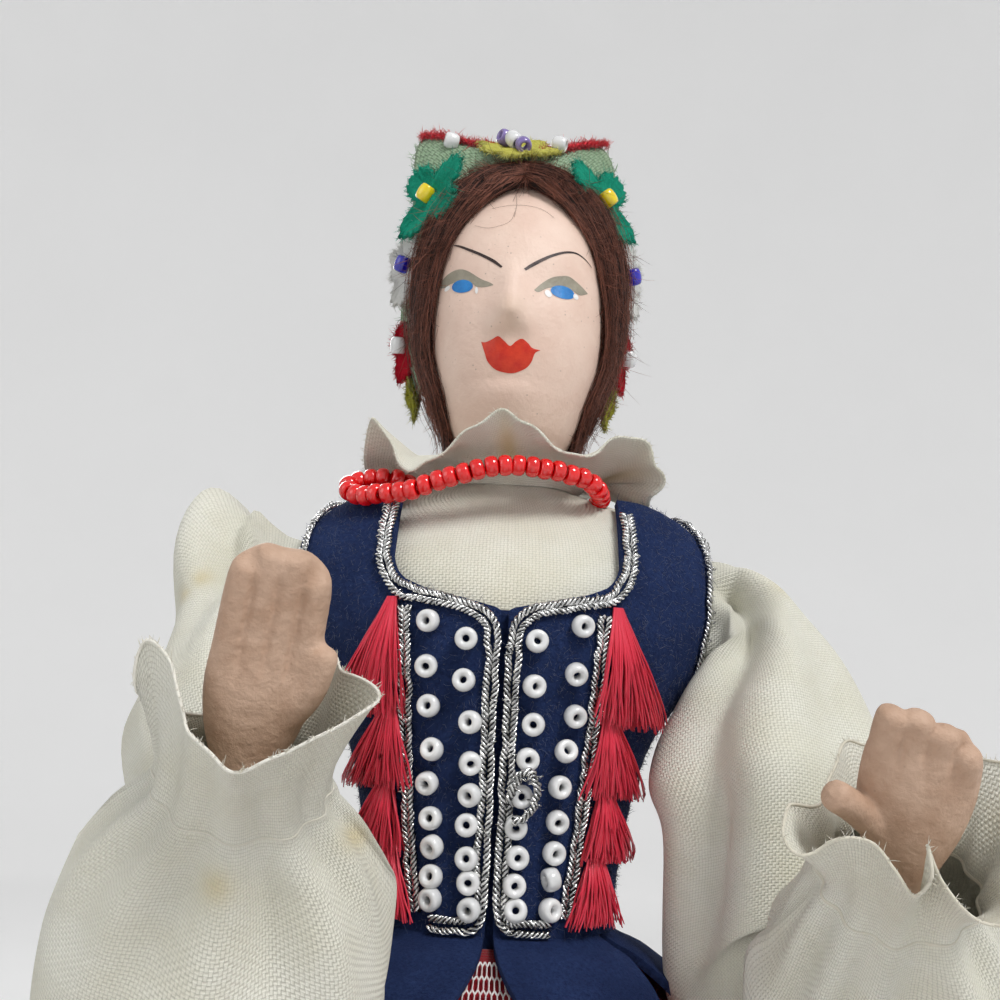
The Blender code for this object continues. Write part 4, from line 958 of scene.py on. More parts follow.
# Felt of the flowers: its dark and its light tone.
FLOWER_TONES = {
    "yellow": ((0.48, 0.45, 0.06), (0.84, 0.80, 0.22)),
    "teal": ((0.004, 0.18, 0.11), (0.02, 0.46, 0.30)),
    "white": ((0.74, 0.74, 0.70), (0.92, 0.92, 0.89)),
    "red": ((0.30, 0.002, 0.012), (0.62, 0.012, 0.03)),
    "olive": ((0.20, 0.20, 0.015), (0.50, 0.48, 0.07)),
}
FLOWER_FINISHES = {
    colour: (felt(colour + "_felt", *tones, 1500), fibre(colour + "_fuzz", *tones, 0.9))
    for colour, tones in FLOWER_TONES.items()
}
# Petals of a flower: direction in degrees from the way to the crown, towards the outer edge, and length.
LEAF = [(-34, 7.6), (60, 7.0), (172, 7.6), (258, 7.0)]
STRIP = [(0, 6.2), (60, 3.8), (120, 3.6), (180, 6.6), (240, 3.4), (300, 3.4)]
TAIL = [(0, 3.4), (90, 2.4), (180, 5.8), (270, 1.9)]
KNOT = [(0, 2.9), (90, 2.2), (180, 3.4), (270, 2.0)]
STAR = [(360 * k / 7, 6.3) for k in range(7)]
# Flowers: place along the band and across it, petals, bead glass, and how far it turns to the front.
FLOWERS = {
    "yellow_flower": (0.5, 0.04, STAR, None, 0.22),
    "right_teal_flower": (0.308, 0.16, LEAF, YELLOW_GLASS, 0.0),
    "left_teal_flower": (0.686, 0.22, LEAF, YELLOW_GLASS, 0.0),
    "right_white_flower": (0.205, 0.6, STRIP, BLUE_GLASS, 0.7),
    "left_white_flower": (0.795, 0.6, STRIP, BLUE_GLASS, 0.3),
    "right_red_flower": (0.095, 0.6, TAIL, WHITE_GLASS, 0.4),
    "left_red_flower": (0.905, 0.6, TAIL, WHITE_GLASS, 0.0),
    "right_olive_flower": (0.015, 0.6, KNOT, None, 0.0),
    "left_olive_flower": (0.985, 0.6, KNOT, None, 0.0),
}
FLOWER_THICK, FLOWER_COLUMNS, FLOWER_FIBRES, EDGE_FIBRES = 0.6, 120, 1100, 700
# Sizes of a bead: its radius, its hole's radius, half its length, and how round its section is.
FLOWER_BEAD_SIZES, CROWN_BEAD_SIZES = (1.35, 0.4, 1.35, 0.95), (1.35, 0.4, 1.2, 0.95)
# Beads sewn to the yellow flower and beside it: along the band, over it, out of it, glass.
CROWN_BEADS = {
    "purple_beads": ([(0.6, -1.4, 1.9), (-2.2, 1.6, 2.3)], PURPLE_GLASS),
    "white_beads": ([(-0.9, 0.2, 2.4), (6.8, 2.4, 1.6), (-11.0, 3.4, 1.1)], WHITE_GLASS),
}


def petal_reach(petals, turn):
    """Radius of a flower's edge: a small middle with a rounded petal in each direction."""
    reach = np.full(turn.shape, 1.9)
    narrow = 0.44 + 0.2 * len(petals)
    for degrees, length in petals:
        off = np.angle(np.exp(1j * (turn - math.radians(degrees))))
        reach = np.maximum(reach, 1.4 + (length - 1.4) * np.exp(-np.abs(off * narrow) ** 2.6))
    return reach


def flower_frame(place, across, tilt):
    """A flower's middle on the band, its way to the crown, over the band and out of it."""
    ahead, over, out = (axis[0] for axis in band_frame(np.array([place]), np.array([across])))
    ahead = ahead if place <= 0.5 else -ahead
    out = unit(out + tilt * np.array([0, -1.0, 0]))
    return band_point(place, across), ahead, unit(over - out * (over @ out)), out


def flower_points(petals, middle, ahead, over, out):
    """The cut felt, with a ragged edge and cupped a little."""
    u, v = mesh_grid(FLOWER_COLUMNS, 14, wrap=True)
    turn = TURN * u
    ragged = 1 + 0.05 * np.sin(31 * turn + 2) + 0.05 * np.sin(47 * turn) + 0.03 * np.sin(83 * turn)
    reach = v * petal_reach(petals, turn) * ragged**v
    cup = 0.7 + 0.4 * v**2 + 0.25 * np.sin(3 * turn + 5 * v)
    points = middle + ahead * (reach * np.cos(turn))[..., None]
    return points + over * (reach * np.sin(turn))[..., None] + out * cup[..., None]


def build_crown_beads(random, middle, ahead, over, out):
    for name, (spots, kind) in CROWN_BEADS.items():
        spots = [middle + ahead * a + over * o + out * n for a, o, n in spots]
        ways = [unit(ahead + 0.6 * random.normal(size=3)) for _ in spots]
        dress(beads("crown_" + name, spots, ways, *CROWN_BEAD_SIZES), kind, "head_group")


def build_flower(name, place, across, petals, bead_glass, tilt):
    """A felt flower with fuzz on it and along its edge, and a bead sewn to its middle."""
    random = dice(name)
    cloth, threads = FLOWER_FINISHES[name.split("_")[-2]]
    middle, ahead, over, out = flower_frame(place, across, tilt)
    points = flower_points(petals, middle, ahead, over, out)
    flower = grid(name + "_felt", points, wrap=True, flip=place > 0.5)
    thicken(flower, FLOWER_THICK)
    dress(flower, cloth, "head_group", name, slot="yellow_felt" if "yellow" in name else None)
    places, normals = samples(flower, FLOWER_FIBRES, name)
    edge = points[-1][random.integers(0, FLOWER_COLUMNS, EDGE_FIBRES)]
    places, normals = np.concatenate([places, edge]), np.concatenate([normals, unit(edge - middle)])
    hairs = fuzz(name + "_fuzz", places, normals, 0.55, 0.04, lift=1.0)
    dress(hairs, threads, "head_group")
    flat = [max(LEAST_SIDE, np.ptp(points @ axis) * MM) for axis in (ahead, over)]
    if bead_glass is not None:
        bead = beads(name + "_bead", [middle + out * 1.75], [ahead - 0.3 * over], *FLOWER_BEAD_SIZES)
        dress(bead, bead_glass, "head_group")
    if petals is STAR:
        build_crown_beads(random, middle, ahead, over, out)


# Blouse, collar and necklace


def build_body():
    u, v = mesh_grid(72, 60, wrap=True)
    body = grid("stuffed_body", oval(BODY, v, TURN * u), wrap=True)
    set_attribute(body, "stain", np.zeros(v.size))
    dress(body, MUSLIN, "figure", "torso", slot="stuffed_muslin")


BLOUSE_LOW_Z, BLOUSE_HIGH_Z = 159.5, 220.6
# The blouse's own armhole: half depth, half height, and how far out it starts.
BLOUSE_ARMHOLE = (7.8, 10.2, 20.0)


def build_blouse():
    """The blouse's body, with shallow creases where it is drawn across the chest."""
    u, v = mesh_grid(220, 150, wrap=True)
    t_low, t_high = where(BODY, BLOUSE_LOW_Z), where(BODY, BLOUSE_HIGH_Z)
    crease = 0.22 * np.sin(9 * TURN * u + 3 * v) * smooth(v, 0.75, 1.0)
    crease = crease + 0.12 * np.sin(14 * v + 5 * np.sin(TURN * u))
    points, _ = off_form(BODY, t_low + (t_high - t_low) * v, TURN * u, BLOUSE_MIDDLE + 0.3 * crease)
    half_depth, half_height, start = BLOUSE_ARMHOLE
    x, y, z = np.moveaxis(points, -1, 0)
    away = np.hypot((y - ARMHOLE["y"]) / half_depth, (z - ARMHOLE["z"]) / half_height)
    gone = (np.abs(x) >= start) & (away <= 1)
    cloth = grid("blouse_body", points, wrap=True)
    trimmed = bmesh.new()
    trimmed.from_mesh(cloth.data)
    trimmed.verts.ensure_lookup_table()
    drop = [trimmed.verts[index] for index in np.flatnonzero(gone).tolist()]
    bmesh.ops.delete(trimmed, geom=drop, context="VERTS")
    trimmed.to_mesh(cloth.data)
    trimmed.free()
    places = in_doll(np.array([vert.co for vert in cloth.data.vertices]))
    set_attribute(cloth, "stain", 0.12 * bell(places[:, 2], 203, 5) * bell(places[:, 0], 0, 9))
    dress(cloth, CREAM, "figure", "blouse", slot="cream_cotton")
    declare_sheet(cloth, points, wrap=True)


# Raw edge of the collar: angle round the neck in degrees, front 0 and the doll's left positive; x, y, z.
COLLAR_EDGE = [
    (-180, 0, 18.8, 225),
    (-166, -4.6, 17.2, 221.4),
    (-152, -9.6, 17.2, 225),
    (-138, -13.0, 13.2, 221.6),
    (-125, -18.2, 8.4, 225.2),
    (-112, -21.8, 0.4, 222.4),
    (-97, -22.3, -4.5, 225.6),
    (-84, -21.1, -8.5, 229.3),
    (-75, -18.9, -11.0, 227.3),
    (-68, -17.3, -12.0, 224.4),
    (-60, -16.2, -12.8, 221.8),
    (-50, -13.9, -13.4, 220.5),
    (-40, -11.6, -14.8, 221.5),
    (-31, -9.1, -16.3, 223.1),
    (-21, -6.7, -17.6, 225.1),
    (-10, -4.2, -18.8, 226.8),
    (0, -1.6, -19.3, 227.9),
    (10, 0.8, -19.0, 227.1),
    (22, 3.8, -18.0, 225.2),
    (33, 6.7, -16.6, 223.6),
    (42, 9.0, -15.4, 223.1),
    (52, 11.7, -14.2, 224.3),
    (62, 13.9, -13.2, 226.3),
    (72, 16.3, -12.0, 227.9),
    (85, 19.9, -10.5, 226.9),
    (97, 21.0, -9.5, 224.4),
    (108, 22.7, -8.0, 222.2),
    (118, 21.0, -6.2, 220.6),
    (127, 20.6, -3.0, 218.8),
    (139, 18.2, 5.4, 222.4),
    (152, 14.0, 12.2, 225.2),
    (166, 6.4, 16.6, 221.6),
    (180, 0, 18.8, 225),
]
# Yellowed places of the collar: angle and half width in degrees, strength.
COLLAR_STAINS = [(0, 7, 0.6), (100, 9, 0.5)]


def collar_point(u, v):
    """The ruffle rises from the blouse's neck and turns over to its raw edge; it turns over higher
    where the edge dips."""
    rows = np.asarray(COLLAR_EDGE, float)
    degrees = 360 * u - 180
    edge = along(rows[:, 1:], np.interp(degrees, rows[:, 0], np.linspace(0, 1, len(rows))))
    angle = np.radians(degrees)
    foot, _ = off_form(BODY, where(BODY, 220.2) + 0 * angle, angle, BLOUSE_MIDDLE + 0 * angle)
    gathers = 0.4 * np.cos(19 * angle + 2 * np.sin(3 * angle))
    turn_z = 225.8 - 0.6 * (edge[..., 2] - 223.5) + gathers
    turn = np.stack([(12 + gathers) * np.sin(angle), -0.94 * (12 + gathers) * np.cos(angle), turn_z], -1)
    v = v[..., None]
    points = foot * (1 - v) ** 2 + turn * 2 * v * (1 - v) + edge * v**2
    curl = smooth(v[..., 0], 0.85, 1.0) * 0.35 * np.sin(17 * angle + 2)
    return points + np.stack([0 * curl, 0 * curl, curl], -1), degrees


def raw_edge(name, points, body, count, length=0.5):
    """Cut threads that stand out along a cloth's raw edge, its last row."""
    line, ways = points[-1], unit(points[-1] - points[-2])
    pick = dice(name).integers(0, len(line), count)
    threads = fuzz(name, line[pick], ways[pick], length, 0.035, lift=2.0)
    return dress(threads, CREAM_THREAD, body, slot="cream_cotton")


def build_collar():
    u, v = mesh_grid(420, 40, wrap=True)
    points, degrees = collar_point(u, v)
    collar = grid("collar_cloth", points, wrap=True)
    stain = sum(share * bell(degrees, middle, width) for middle, width, share in COLLAR_STAINS)
    set_attribute(collar, "stain", stain * bell(v, 0.6, 0.3))
    thicken(collar, 0.34)
    dress(collar, CREAM, "figure", "collar_ruffle", slot="cream_cotton")
    fray = raw_edge("collar_fray", points, "figure", 500, 0.45)
    declare_sheet(collar, points, wrap=True)


# The strand lies over the collar in front, doubles back at the doll's right and goes round the neck.
NECKLACE_ROUTE = [
    (-1.0, -16.9, 220.9),
    (4.6, -16.0, 220.9),
    (9.7, -14.2, 220.5),
    (12.2, -12.2, 219.7),
    (13.2, -7.5, 219.2),
    (12.6, 0, 219.4),
    (9.6, 7.6, 219.8),
    (0, 10.6, 219.8),
    (-9.6, 7.6, 219.8),
    (-13.4, 0, 220),
    (-15.2, -6.6, 220.4),
    (-18.5, -7.7, 220.8),
    (-22.0, -6.6, 220.5),
    (-23.6, -8.3, 218.8),
    (-21.5, -10.8, 217.2),
    (-17.6, -13.2, 216.9),
    (-14.0, -14.8, 217.2),
    (-9.8, -16.0, 218.5),
    (-5.7, -16.9, 219.8),
]
BEAD_PITCH = 1.92


def build_necklace():
    """Separate glass beads on a thread, a little out of line with each other."""
    route = NECKLACE_ROUTE[-1:] + NECKLACE_ROUTE + NECKLACE_ROUTE[:2]
    inner = len(NECKLACE_ROUTE)
    fine = along(route, (1 + inner * np.linspace(0, 1, 900)) / (len(route) - 1))
    places = resample(fine, int(length_of(fine) / BEAD_PITCH) + 1)[:-1]
    ahead = unit(np.roll(places, -1, 0) - np.roll(places, 1, 0))
    random = dice("necklace")
    axes = unit(ahead + random.normal(size=places.shape) * 0.09)
    places = places + random.normal(size=places.shape) * 0.06
    strand = beads("necklace_beads", places, axes, 1.5, 0.4, 0.93, 0.95)
    dress(strand, RED_GLASS, "figure", "necklace", slot="red_glass")


# Felt vest

NECKLINE_HALF, NECKLINE_Z, NECKLINE_CORNER, NECKLINE_SLOPE = 15.4, 200.3, 5.0, 0.25
FRONT_OPENING, SIDE_SEAM_Y, SEAM_GAP = 0.5, 2.6, 0.2
# Points of cut felt nearer than this become one; how far its edges are rounded; fibres of a panel.
SLIVER, SOFT_EDGE, VEST_FIBRES = 0.08, 0.3, 4200
VEST_CORE = np.array([0, 0, 190.0])
# Angles round the body that each front's grid and the back's cover.
FRONT_ANGLES = {"right": (-math.radians(118), 0.08), "left": (-0.08, math.radians(118))}
BACK_ANGLES = (math.radians(70), math.radians(290))
# The felt strip under the two fronts: width, height, lowest z, and how far off the body it lies.
UNDERLAP = {"wide": 5.0, "long": 43.3, "low_z": 157.2, "distance": 1.35}


def neckline_distance(x, z):
    """How far a point of the front is outside the neckline's opening, below and beside it."""
    wide = np.abs(x) - (NECKLINE_HALF - NECKLINE_CORNER)
    low = (NECKLINE_Z + NECKLINE_CORNER) + NECKLINE_SLOPE * np.minimum(np.abs(x), 12) - z
    corner = np.hypot(np.maximum(wide, 0), np.maximum(low, 0)) + np.minimum(np.maximum(wide, low), 0)
    return corner - NECKLINE_CORNER


def armhole_distance(y, z):
    reach = np.hypot((y - ARMHOLE["y"]) / ARMHOLE["half_depth"], (z - ARMHOLE["z"]) / ARMHOLE["half_height"])
    return (reach - 1) * 9.5


def cut_cells(flat, inside, columns, rows):
    """Cells of a grid, cut along the line where inside is 0 and kept above it: points and faces."""
    points, cuts, faces = list(flat), {}, []

    def cut(first, last):
        key = (min(first, last), max(first, last))
        if key not in cuts:
            cuts[key] = len(points)
            fall = inside[first] - inside[last]
            points.append(flat[first] + (flat[last] - flat[first]) * inside[first] / fall)
        return cuts[key]

    for row in range(rows - 1):
        for column in range(columns - 1):
            corner = row * columns + column
            quad = [corner, corner + 1, corner + columns + 1, corner + columns]
            face = []
            for first, last in zip(quad, quad[1:] + quad[:1]):
                if inside[first] > 0:
                    face.append(first)
                if (inside[first] > 0) != (inside[last] > 0):
                    face.append(cut(first, last))
            if len(face) > 2:
                faces.append(face)
    return points, faces


def trimmed_panel(name, angles, region, columns, rows):
    """A felt panel on the body, where region is above 0."""
    t_low, t_high = where(BODY, WAIST_Z), where(BODY, VEST_TOP_Z)
    u, v = mesh_grid(columns, rows)
    angle, t = angles[0] + (angles[1] - angles[0]) * u, t_low + (t_high - t_low) * v
    flat = off_form(BODY, t, angle, VEST_MIDDLE)[0].reshape(-1, 3)
    points, faces = cut_cells(flat, region(flat), columns, rows)
    mesh = bpy.data.meshes.new(name)
    mesh.from_pydata(in_frame(points).tolist(), [], faces)
    panel = bmesh.new()
    panel.from_mesh(mesh)
    loose = [vert for vert in panel.verts if not vert.link_faces]
    bmesh.ops.delete(panel, geom=loose, context="VERTS")
    bmesh.ops.remove_doubles(panel, verts=panel.verts, dist=SLIVER * MM)
    panel.to_mesh(mesh)
    panel.free()
    mesh.shade_smooth()
    return linked(name, mesh)


def felt_piece(obj, node_name, fibres):
    """Thickness, soft edges and fuzz of one felt piece."""
    places, normals = samples(obj, fibres, node_name)
    thicken(obj, VEST_THICK)
    edge = obj.modifiers.new("soft_edge", "BEVEL")
    edge.width = SOFT_EDGE * MM
    edge.segments = 2
    edge.limit_method = "ANGLE"
    edge.angle_limit = math.radians(50)
    dress(obj, NAVY, "figure", node_name, slot="navy_felt")
    inward = (normals * (places - VEST_CORE)).sum(1, keepdims=True) < 0
    normals = np.where(inward, -normals, normals)
    hairs = fuzz(node_name + "_fuzz", places + normals * VEST_THICK / 2, normals, 0.7, 0.024, lift=0.3)
    dress(hairs, NAVY_FUZZ, "figure", slot="navy_felt")


def front_region(side):
    """Where one front's felt is: beside the opening, before the seam, off the neck and the armhole."""

    def region(points):
        x, y, z = np.moveaxis(points, -1, 0)
        opening = side * x - FRONT_OPENING
        seam = SIDE_SEAM_Y - SEAM_GAP - y
        neck = np.where(y < 0.8, neckline_distance(x, z), 9.0)
        return np.minimum.reduce([opening, seam, neck, armhole_distance(y, z)])

    return region


def back_region(points):
    _, y, z = np.moveaxis(points, -1, 0)
    return np.minimum(y - SIDE_SEAM_Y - SEAM_GAP, armhole_distance(y, z))


def build_vest():
    for side_name, side in SIDES.items():
        name = f"vest_{side_name}_front"
        front = trimmed_panel(name + "_felt", FRONT_ANGLES[side_name], front_region(side), 110, 130)
        felt_piece(front, name, VEST_FIBRES)
    back = trimmed_panel("vest_back_felt", BACK_ANGLES, back_region, 150, 120)
    felt_piece(back, "vest_back", VEST_FIBRES)
    build_underlap()


def build_underlap():
    u, v = mesh_grid(12, 60)
    x, z = UNDERLAP["wide"] * (u - 0.5), UNDERLAP["low_z"] + UNDERLAP["long"] * v
    strip = grid("vest_underlap", on_front(x, z, UNDERLAP["distance"])[0])
    dress(strip, NAVY, "figure", slot="navy_felt")


def skirt_radius(z):
    t = where(SKIRT, z)
    return along(SKIRT, t)[..., 1], t


def skirt_oval(reach, angle, z):
    """Points round the skirt, which is less deep than wide."""
    return np.stack([reach * np.sin(angle), -SKIRT_DEPTH * reach * np.cos(angle), z + 0 * angle], -1)


def skirt_point(angle, z, distance=0.0):
    """Points on the pleated skirt, or at a distance outside it; folds deepen to the hem."""
    radius, t = skirt_radius(z)
    wave = np.cos(SKIRT_FOLDS * angle + math.pi + 0.25 * np.sin(3 * angle + 1))
    fold = (0.3 + (HEM_FOLD - 0.3) * t) * wave
    return skirt_oval(radius + fold + distance, angle, z)


TAB_NAMES = ["front_left", "side_left", "back_left", "back_right", "side_right", "front_right"]
TAB_LENGTH, TAB_HALF_TURN, TAB_STAND_OFF, TAB_FIBRES = 17.0, math.radians(28), 4.4, 900


def build_peplum():
    u, v = mesh_grid(44, 44)
    half_turn = TAB_HALF_TURN * np.sqrt(np.maximum(0.0, 1 - np.maximum(0.0, (v - 0.45) / 0.55) ** 2.6))
    z = WAIST_Z + 1.2 - (TAB_LENGTH + 2.2) * v
    stand_off = TAB_STAND_OFF * (0.62 + 0.38 * np.minimum(1, 3 * v)) - 3.6 * (1 - smooth(v, 0.04, 0.2))
    radius = skirt_radius(np.minimum(z, SKIRT[0][0]))[0] + stand_off
    for index, name in enumerate(TAB_NAMES):
        middle = TURN * (index + 0.5) / len(TAB_NAMES)
        taper = 0.36 * smooth(v, 0.05, 0.6) if "front" in name else 0.12 * v
        angle = middle + half_turn * (2 * u - 1) * (1 - taper)
        wavy = radius + 0.5 * np.sin(3 * math.pi * u + index) * v
        tab = grid(f"peplum_{name}_felt", skirt_oval(wavy, angle, z))
        felt_piece(tab, "peplum_tab_" + name, TAB_FIBRES)


# Glass beads on the vest's fronts

# Top and bottom of each column: x, z.
BEAD_COLUMNS = [((4.6, 196.3), (2.9, 163.4)), ((9.9, 198.2), (7.4, 163.9))]
BEADS_IN_COLUMN = 9


def build_vest_beads():
    random = dice("vest_beads")
    share = np.arange(BEADS_IN_COLUMN) / (BEADS_IN_COLUMN - 1)
    share = 1.32 * share - 0.32 * share * share
    for name, side in SIDES.items():
        x, z = (
            np.concatenate([top[k] + (low[k] - top[k]) * share for top, low in BEAD_COLUMNS]) for k in (0, 1)
        )
        x = x + random.normal(size=x.size) * 0.22
        z = z + random.normal(size=z.size) * 0.28
        places, normals = on_front(side * x, z, VEST_OUTER + 0.85)
        tilt = random.normal(size=places.shape) * 0.16
        loose = random.random(len(places)) < 0.08
        axes = np.where(loose[:, None], unit(random.normal(size=places.shape)), normals + tilt)
        row = beads(f"{name}_vest_beads", places, axes, 1.5, 0.42, 0.95)
        dress(row, WHITE_GLASS, "figure")


# Silver braid

BRAID_RADIUS, BRAID_THREAD, LOOP_THREAD = 0.75, 0.2, 0.085
# Lines of braid on a front: x, z.
NECKLINE_BRAID = [
    (16.6, 216), (16.9, 211), (16.5, 206.4), (14.4, 203), (10.8, 201.8),
    (7.2, 201), (4.0, 200.1), (2.0, 198.6), (1.35, 196),
]
CENTRE_BRAID = [(1.35, 190), (1.3, 180), (1.3, 170), (1.35, 163.6), (2.4, 161.6), (4.4, 161.3), (7.6, 161.3)]
SIDE_BRAID = [(13.1, 200.4), (12.7, 193), (12.1, 184), (11.3, 175), (10.4, 168), (9.6, 162.4)]
# A loop of braid that has come loose by the middle of the front.
LOOSE_LOOP = [
    (1.6, 176.2), (2.3, 178.4), (3.2, 180.0), (4.5, 180.0),
    (5.1, 178.1), (4.7, 175.8), (3.7, 174.5), (2.3, 174.2),
]


def plait(name, line, normals, *replaced, cords=(-0.52, 0.52)):
    """A narrow braid of bright metal thread: twisted cords side by side, with loops and loose ends, and
    painted glints along the threads.
    """
    random = dice(name)
    reach = length_of(line)
    count = max(40, int(reach * 9))
    centre = resample(line, count)
    up = unit(resample(normals, count))
    side = unit(np.cross(np.gradient(centre, axis=0), up))
    s = np.linspace(0, reach, count)
    paths = []
    for cord in cords:
        wander = np.interp(s, np.linspace(0, reach, 40), random.normal(size=40) * 0.13)
        for k in range(3):
            turn = TURN * (s / 2.0 * np.sign(cord + 0.1) + k / 3) + 2.5 * wander
            across = cord + wander + 0.34 * np.cos(turn) + 0.03 * random.normal(size=count)
            lift = 0.30 * np.sin(turn) + 0.03 * random.normal(size=count)
            paths.append(centre + side * across[:, None] + up * lift[:, None])
    # Painted glints: the metal's colour brightens and darkens in spots along each thread.
    knots = max(4, int(reach / 0.4))
    painted_glints = random.random((len(paths), knots)) ** 1.3
    tones = [np.interp(s, np.linspace(0, reach, knots), row) for row in painted_glints]
    tops = np.broadcast_to(up, (len(paths), count, 3))
    braid = strands(name, paths, BRAID_THREAD, 6, 1.0, tones, tops)
    dress(braid, SILVER, "figure", *replaced, slot="silver_braid")
    loops = thread_loops(random, int(reach * 1.1), centre, side, up)
    ends = strands(name + "_loops", loops, LOOP_THREAD, 4, 0.8)
    dress(ends, SILVER, "figure", slot="silver_braid")


def thread_loops(random, count, centre, side, up):
    """Small loops of thread that stand out from both sides of a braid."""
    at = random.integers(2, len(centre) - 3, count)
    turn = np.linspace(0, TURN * 0.85, 9)
    size = (0.22 + 0.34 * random.random(count))[:, None]
    way = np.where(random.random(count) < 0.5, -1.0, 1.0)[:, None]
    drift = turn * (random.random((count, 1)) - 0.5) * 2
    base = centre[at] + side[at] * (0.6 * way)
    out = side[at][:, None] * (np.sin(turn) * size * way)[..., None]
    over = up[at][:, None] * ((1 - np.cos(turn)) * size * 0.7)[..., None]
    return base[:, None] + out + over + np.gradient(centre, axis=0)[at][:, None] * drift[..., None]


def armhole_line(side):
    """The braid round an armhole, from its lowest front place over the shoulder, and its normals."""
    turn = math.radians(24) + math.radians(312) * np.linspace(0, 1, 60)
    y = ARMHOLE["y"] - (ARMHOLE["half_depth"] + 1.2) * np.sin(turn)
    z = ARMHOLE["z"] - (ARMHOLE["half_height"] + 1.2) * np.cos(turn)
    t = where(BODY, z)
    row = along(BODY, t)
    deep = np.where(y < 0, row[:, 2], row[:, 3]) + VEST_OUTER
    reach = np.sqrt(np.maximum(0.05, 1 - np.minimum(1, np.abs(y) / deep) ** 2))
    return off_form(BODY, t, side * np.arctan2(reach, -y / deep), VEST_OUTER + BRAID_RADIUS * 0.7)


def build_braid():
    t = np.linspace(0, 1, 120)
    for name, side in SIDES.items():
        for part_name, line in (("edge", NECKLINE_BRAID + CENTRE_BRAID), ("side", SIDE_BRAID)):
            rows = along(line, t)
            points, normals = on_front(side * rows[:, 0], rows[:, 1], VEST_OUTER + BRAID_RADIUS * 0.6)
            plait(f"{name}_{part_name}_silver", points, normals, f"{name}_{part_name}_braid")
        points, normals = armhole_line(side)
        plait(f"{name}_armhole_silver", points, normals, f"{name}_armhole_braid", cords=(0.0,))
    rows = along(LOOSE_LOOP, t)
    points, normals = on_front(rows[:, 0], rows[:, 1], VEST_OUTER + 2.4)
    plait("loose_loop_silver", points, normals, cords=(0.0,))


# Silk tassels

# x and z of the knot, x and z of the ends, and how far they spread.
TASSELS = [
    (14.9, 200.0, 17.7, 187.4, 4.0),
    (14.4, 187.2, 16.0, 178.0, 3.9),
    (14.3, 178.0, 15.8, 169.8, 3.0),
    (13.4, 169.8, 13.7, 162.0, 2.7),
]
TASSEL_STRANDS = 170


def build_tassels():
    for name, side in SIDES.items():
        for index, shape in enumerate(TASSELS):
            build_tassel(f"{name}_tassel_{index + 1}", side, *shape)


def build_tassel(piece, side, knot_x, knot_z, end_x, end_z, wide):
    random = dice(piece)
    fan = np.clip(random.normal(size=TASSEL_STRANDS) * 0.55, -1.15, 1.15)[:, None]
    layer = random.random(TASSEL_STRANDS)
    reach = 1.0 + 0.12 * random.random(TASSEL_STRANDS)
    v = np.linspace(0, 1, 12)[None, :] * reach[:, None]
    bend = 0.35 * np.sin(5 * v + TURN * random.random((TASSEL_STRANDS, 1))) * v
    x = knot_x + (end_x - knot_x) * v + fan * (0.5 + wide * v**1.1) + bend
    z = knot_z + 1.6 + (end_z - knot_z - 1.2) * v - 0.27 * np.abs(fan) * v
    lift = VEST_OUTER + 0.25 + (0.5 + 1.7 * smooth(v, 0.0, 0.6)) * layer[:, None]
    paths, _ = on_front(side * x, z, lift)
    # Painted shade: strands that lie nearer the vest, under the others, are darker; those on top are
    # lighter.
    tones = np.clip(0.2 + 0.6 * layer + random.normal(size=TASSEL_STRANDS) * 0.15, 0, 1)
    silk = strands(piece + "_silk", paths, 0.13, 4, 0.6, tones)
    dress(silk, SILK, "figure", piece, slot="red_silk")


# Skirt and net apron


def build_skirt():
    u, v = mesh_grid(420, 90, wrap=True)
    top, hem = SKIRT[0][0], SKIRT[-1][0]
    points = skirt_point(TURN * u, top + (hem - top) * v**0.85)
    points[..., :2] *= (1 + 0.008 * np.sin(37 * TURN * u + 4 * v) * smooth(v, 0, 0.3))[..., None]
    skirt = grid("skirt_cloth", points, wrap=True)
    set_attribute(skirt, "stain", np.zeros(v.size))
    thicken(skirt, 0.4)
    dress(skirt, RED_COTTON, "figure", "skirt", slot="red_cotton")
    declare_sheet(skirt, points, wrap=True)


APRON_HALF_TURN, APRON_LOW_Z, APRON_HIGH_Z, APRON_STAND_OFF = math.radians(50), 58.0, 157.6, 1.5
NET_CELL, NET_THREAD, EDGE_THREAD, EDGE_POINTS = 1.5, 0.13, 0.28, 400


def net_paths(place, columns, rows):
    """Threads of the net's six-sided cells, three to a cell."""
    column, row = np.meshgrid(np.arange(columns), np.arange(rows))
    shift = column + 0.5 * (row % 2)
    left, right, below = (shift, row), (shift + 0.5, row + 0.33), (shift + 0.5, row + 1.0)
    pairs = [(left, right), (right, (shift + 1.0, row)), (right, below)]
    return np.concatenate([np.stack([place(*a), place(*b)], -2).reshape(-1, 2, 3) for a, b in pairs])


def apron_edges(place, columns, rows):
    """Three scalloped rows of thread along the hem, and one down each side."""
    t = np.linspace(0, 1, EDGE_POINTS)
    edges = []
    for k in range(3):
        down = rows * (1 - 0.008 * k) + 1.1 * np.abs(np.sin(12 * math.pi * t)) - 1.0 - 1.2 * k
        edges.append(place(columns * t, down) + np.array([0, -0.15 * k, 0]))
    for across in (0, columns):
        edges.append(place(np.full(EDGE_POINTS, across), rows * t))
    return edges


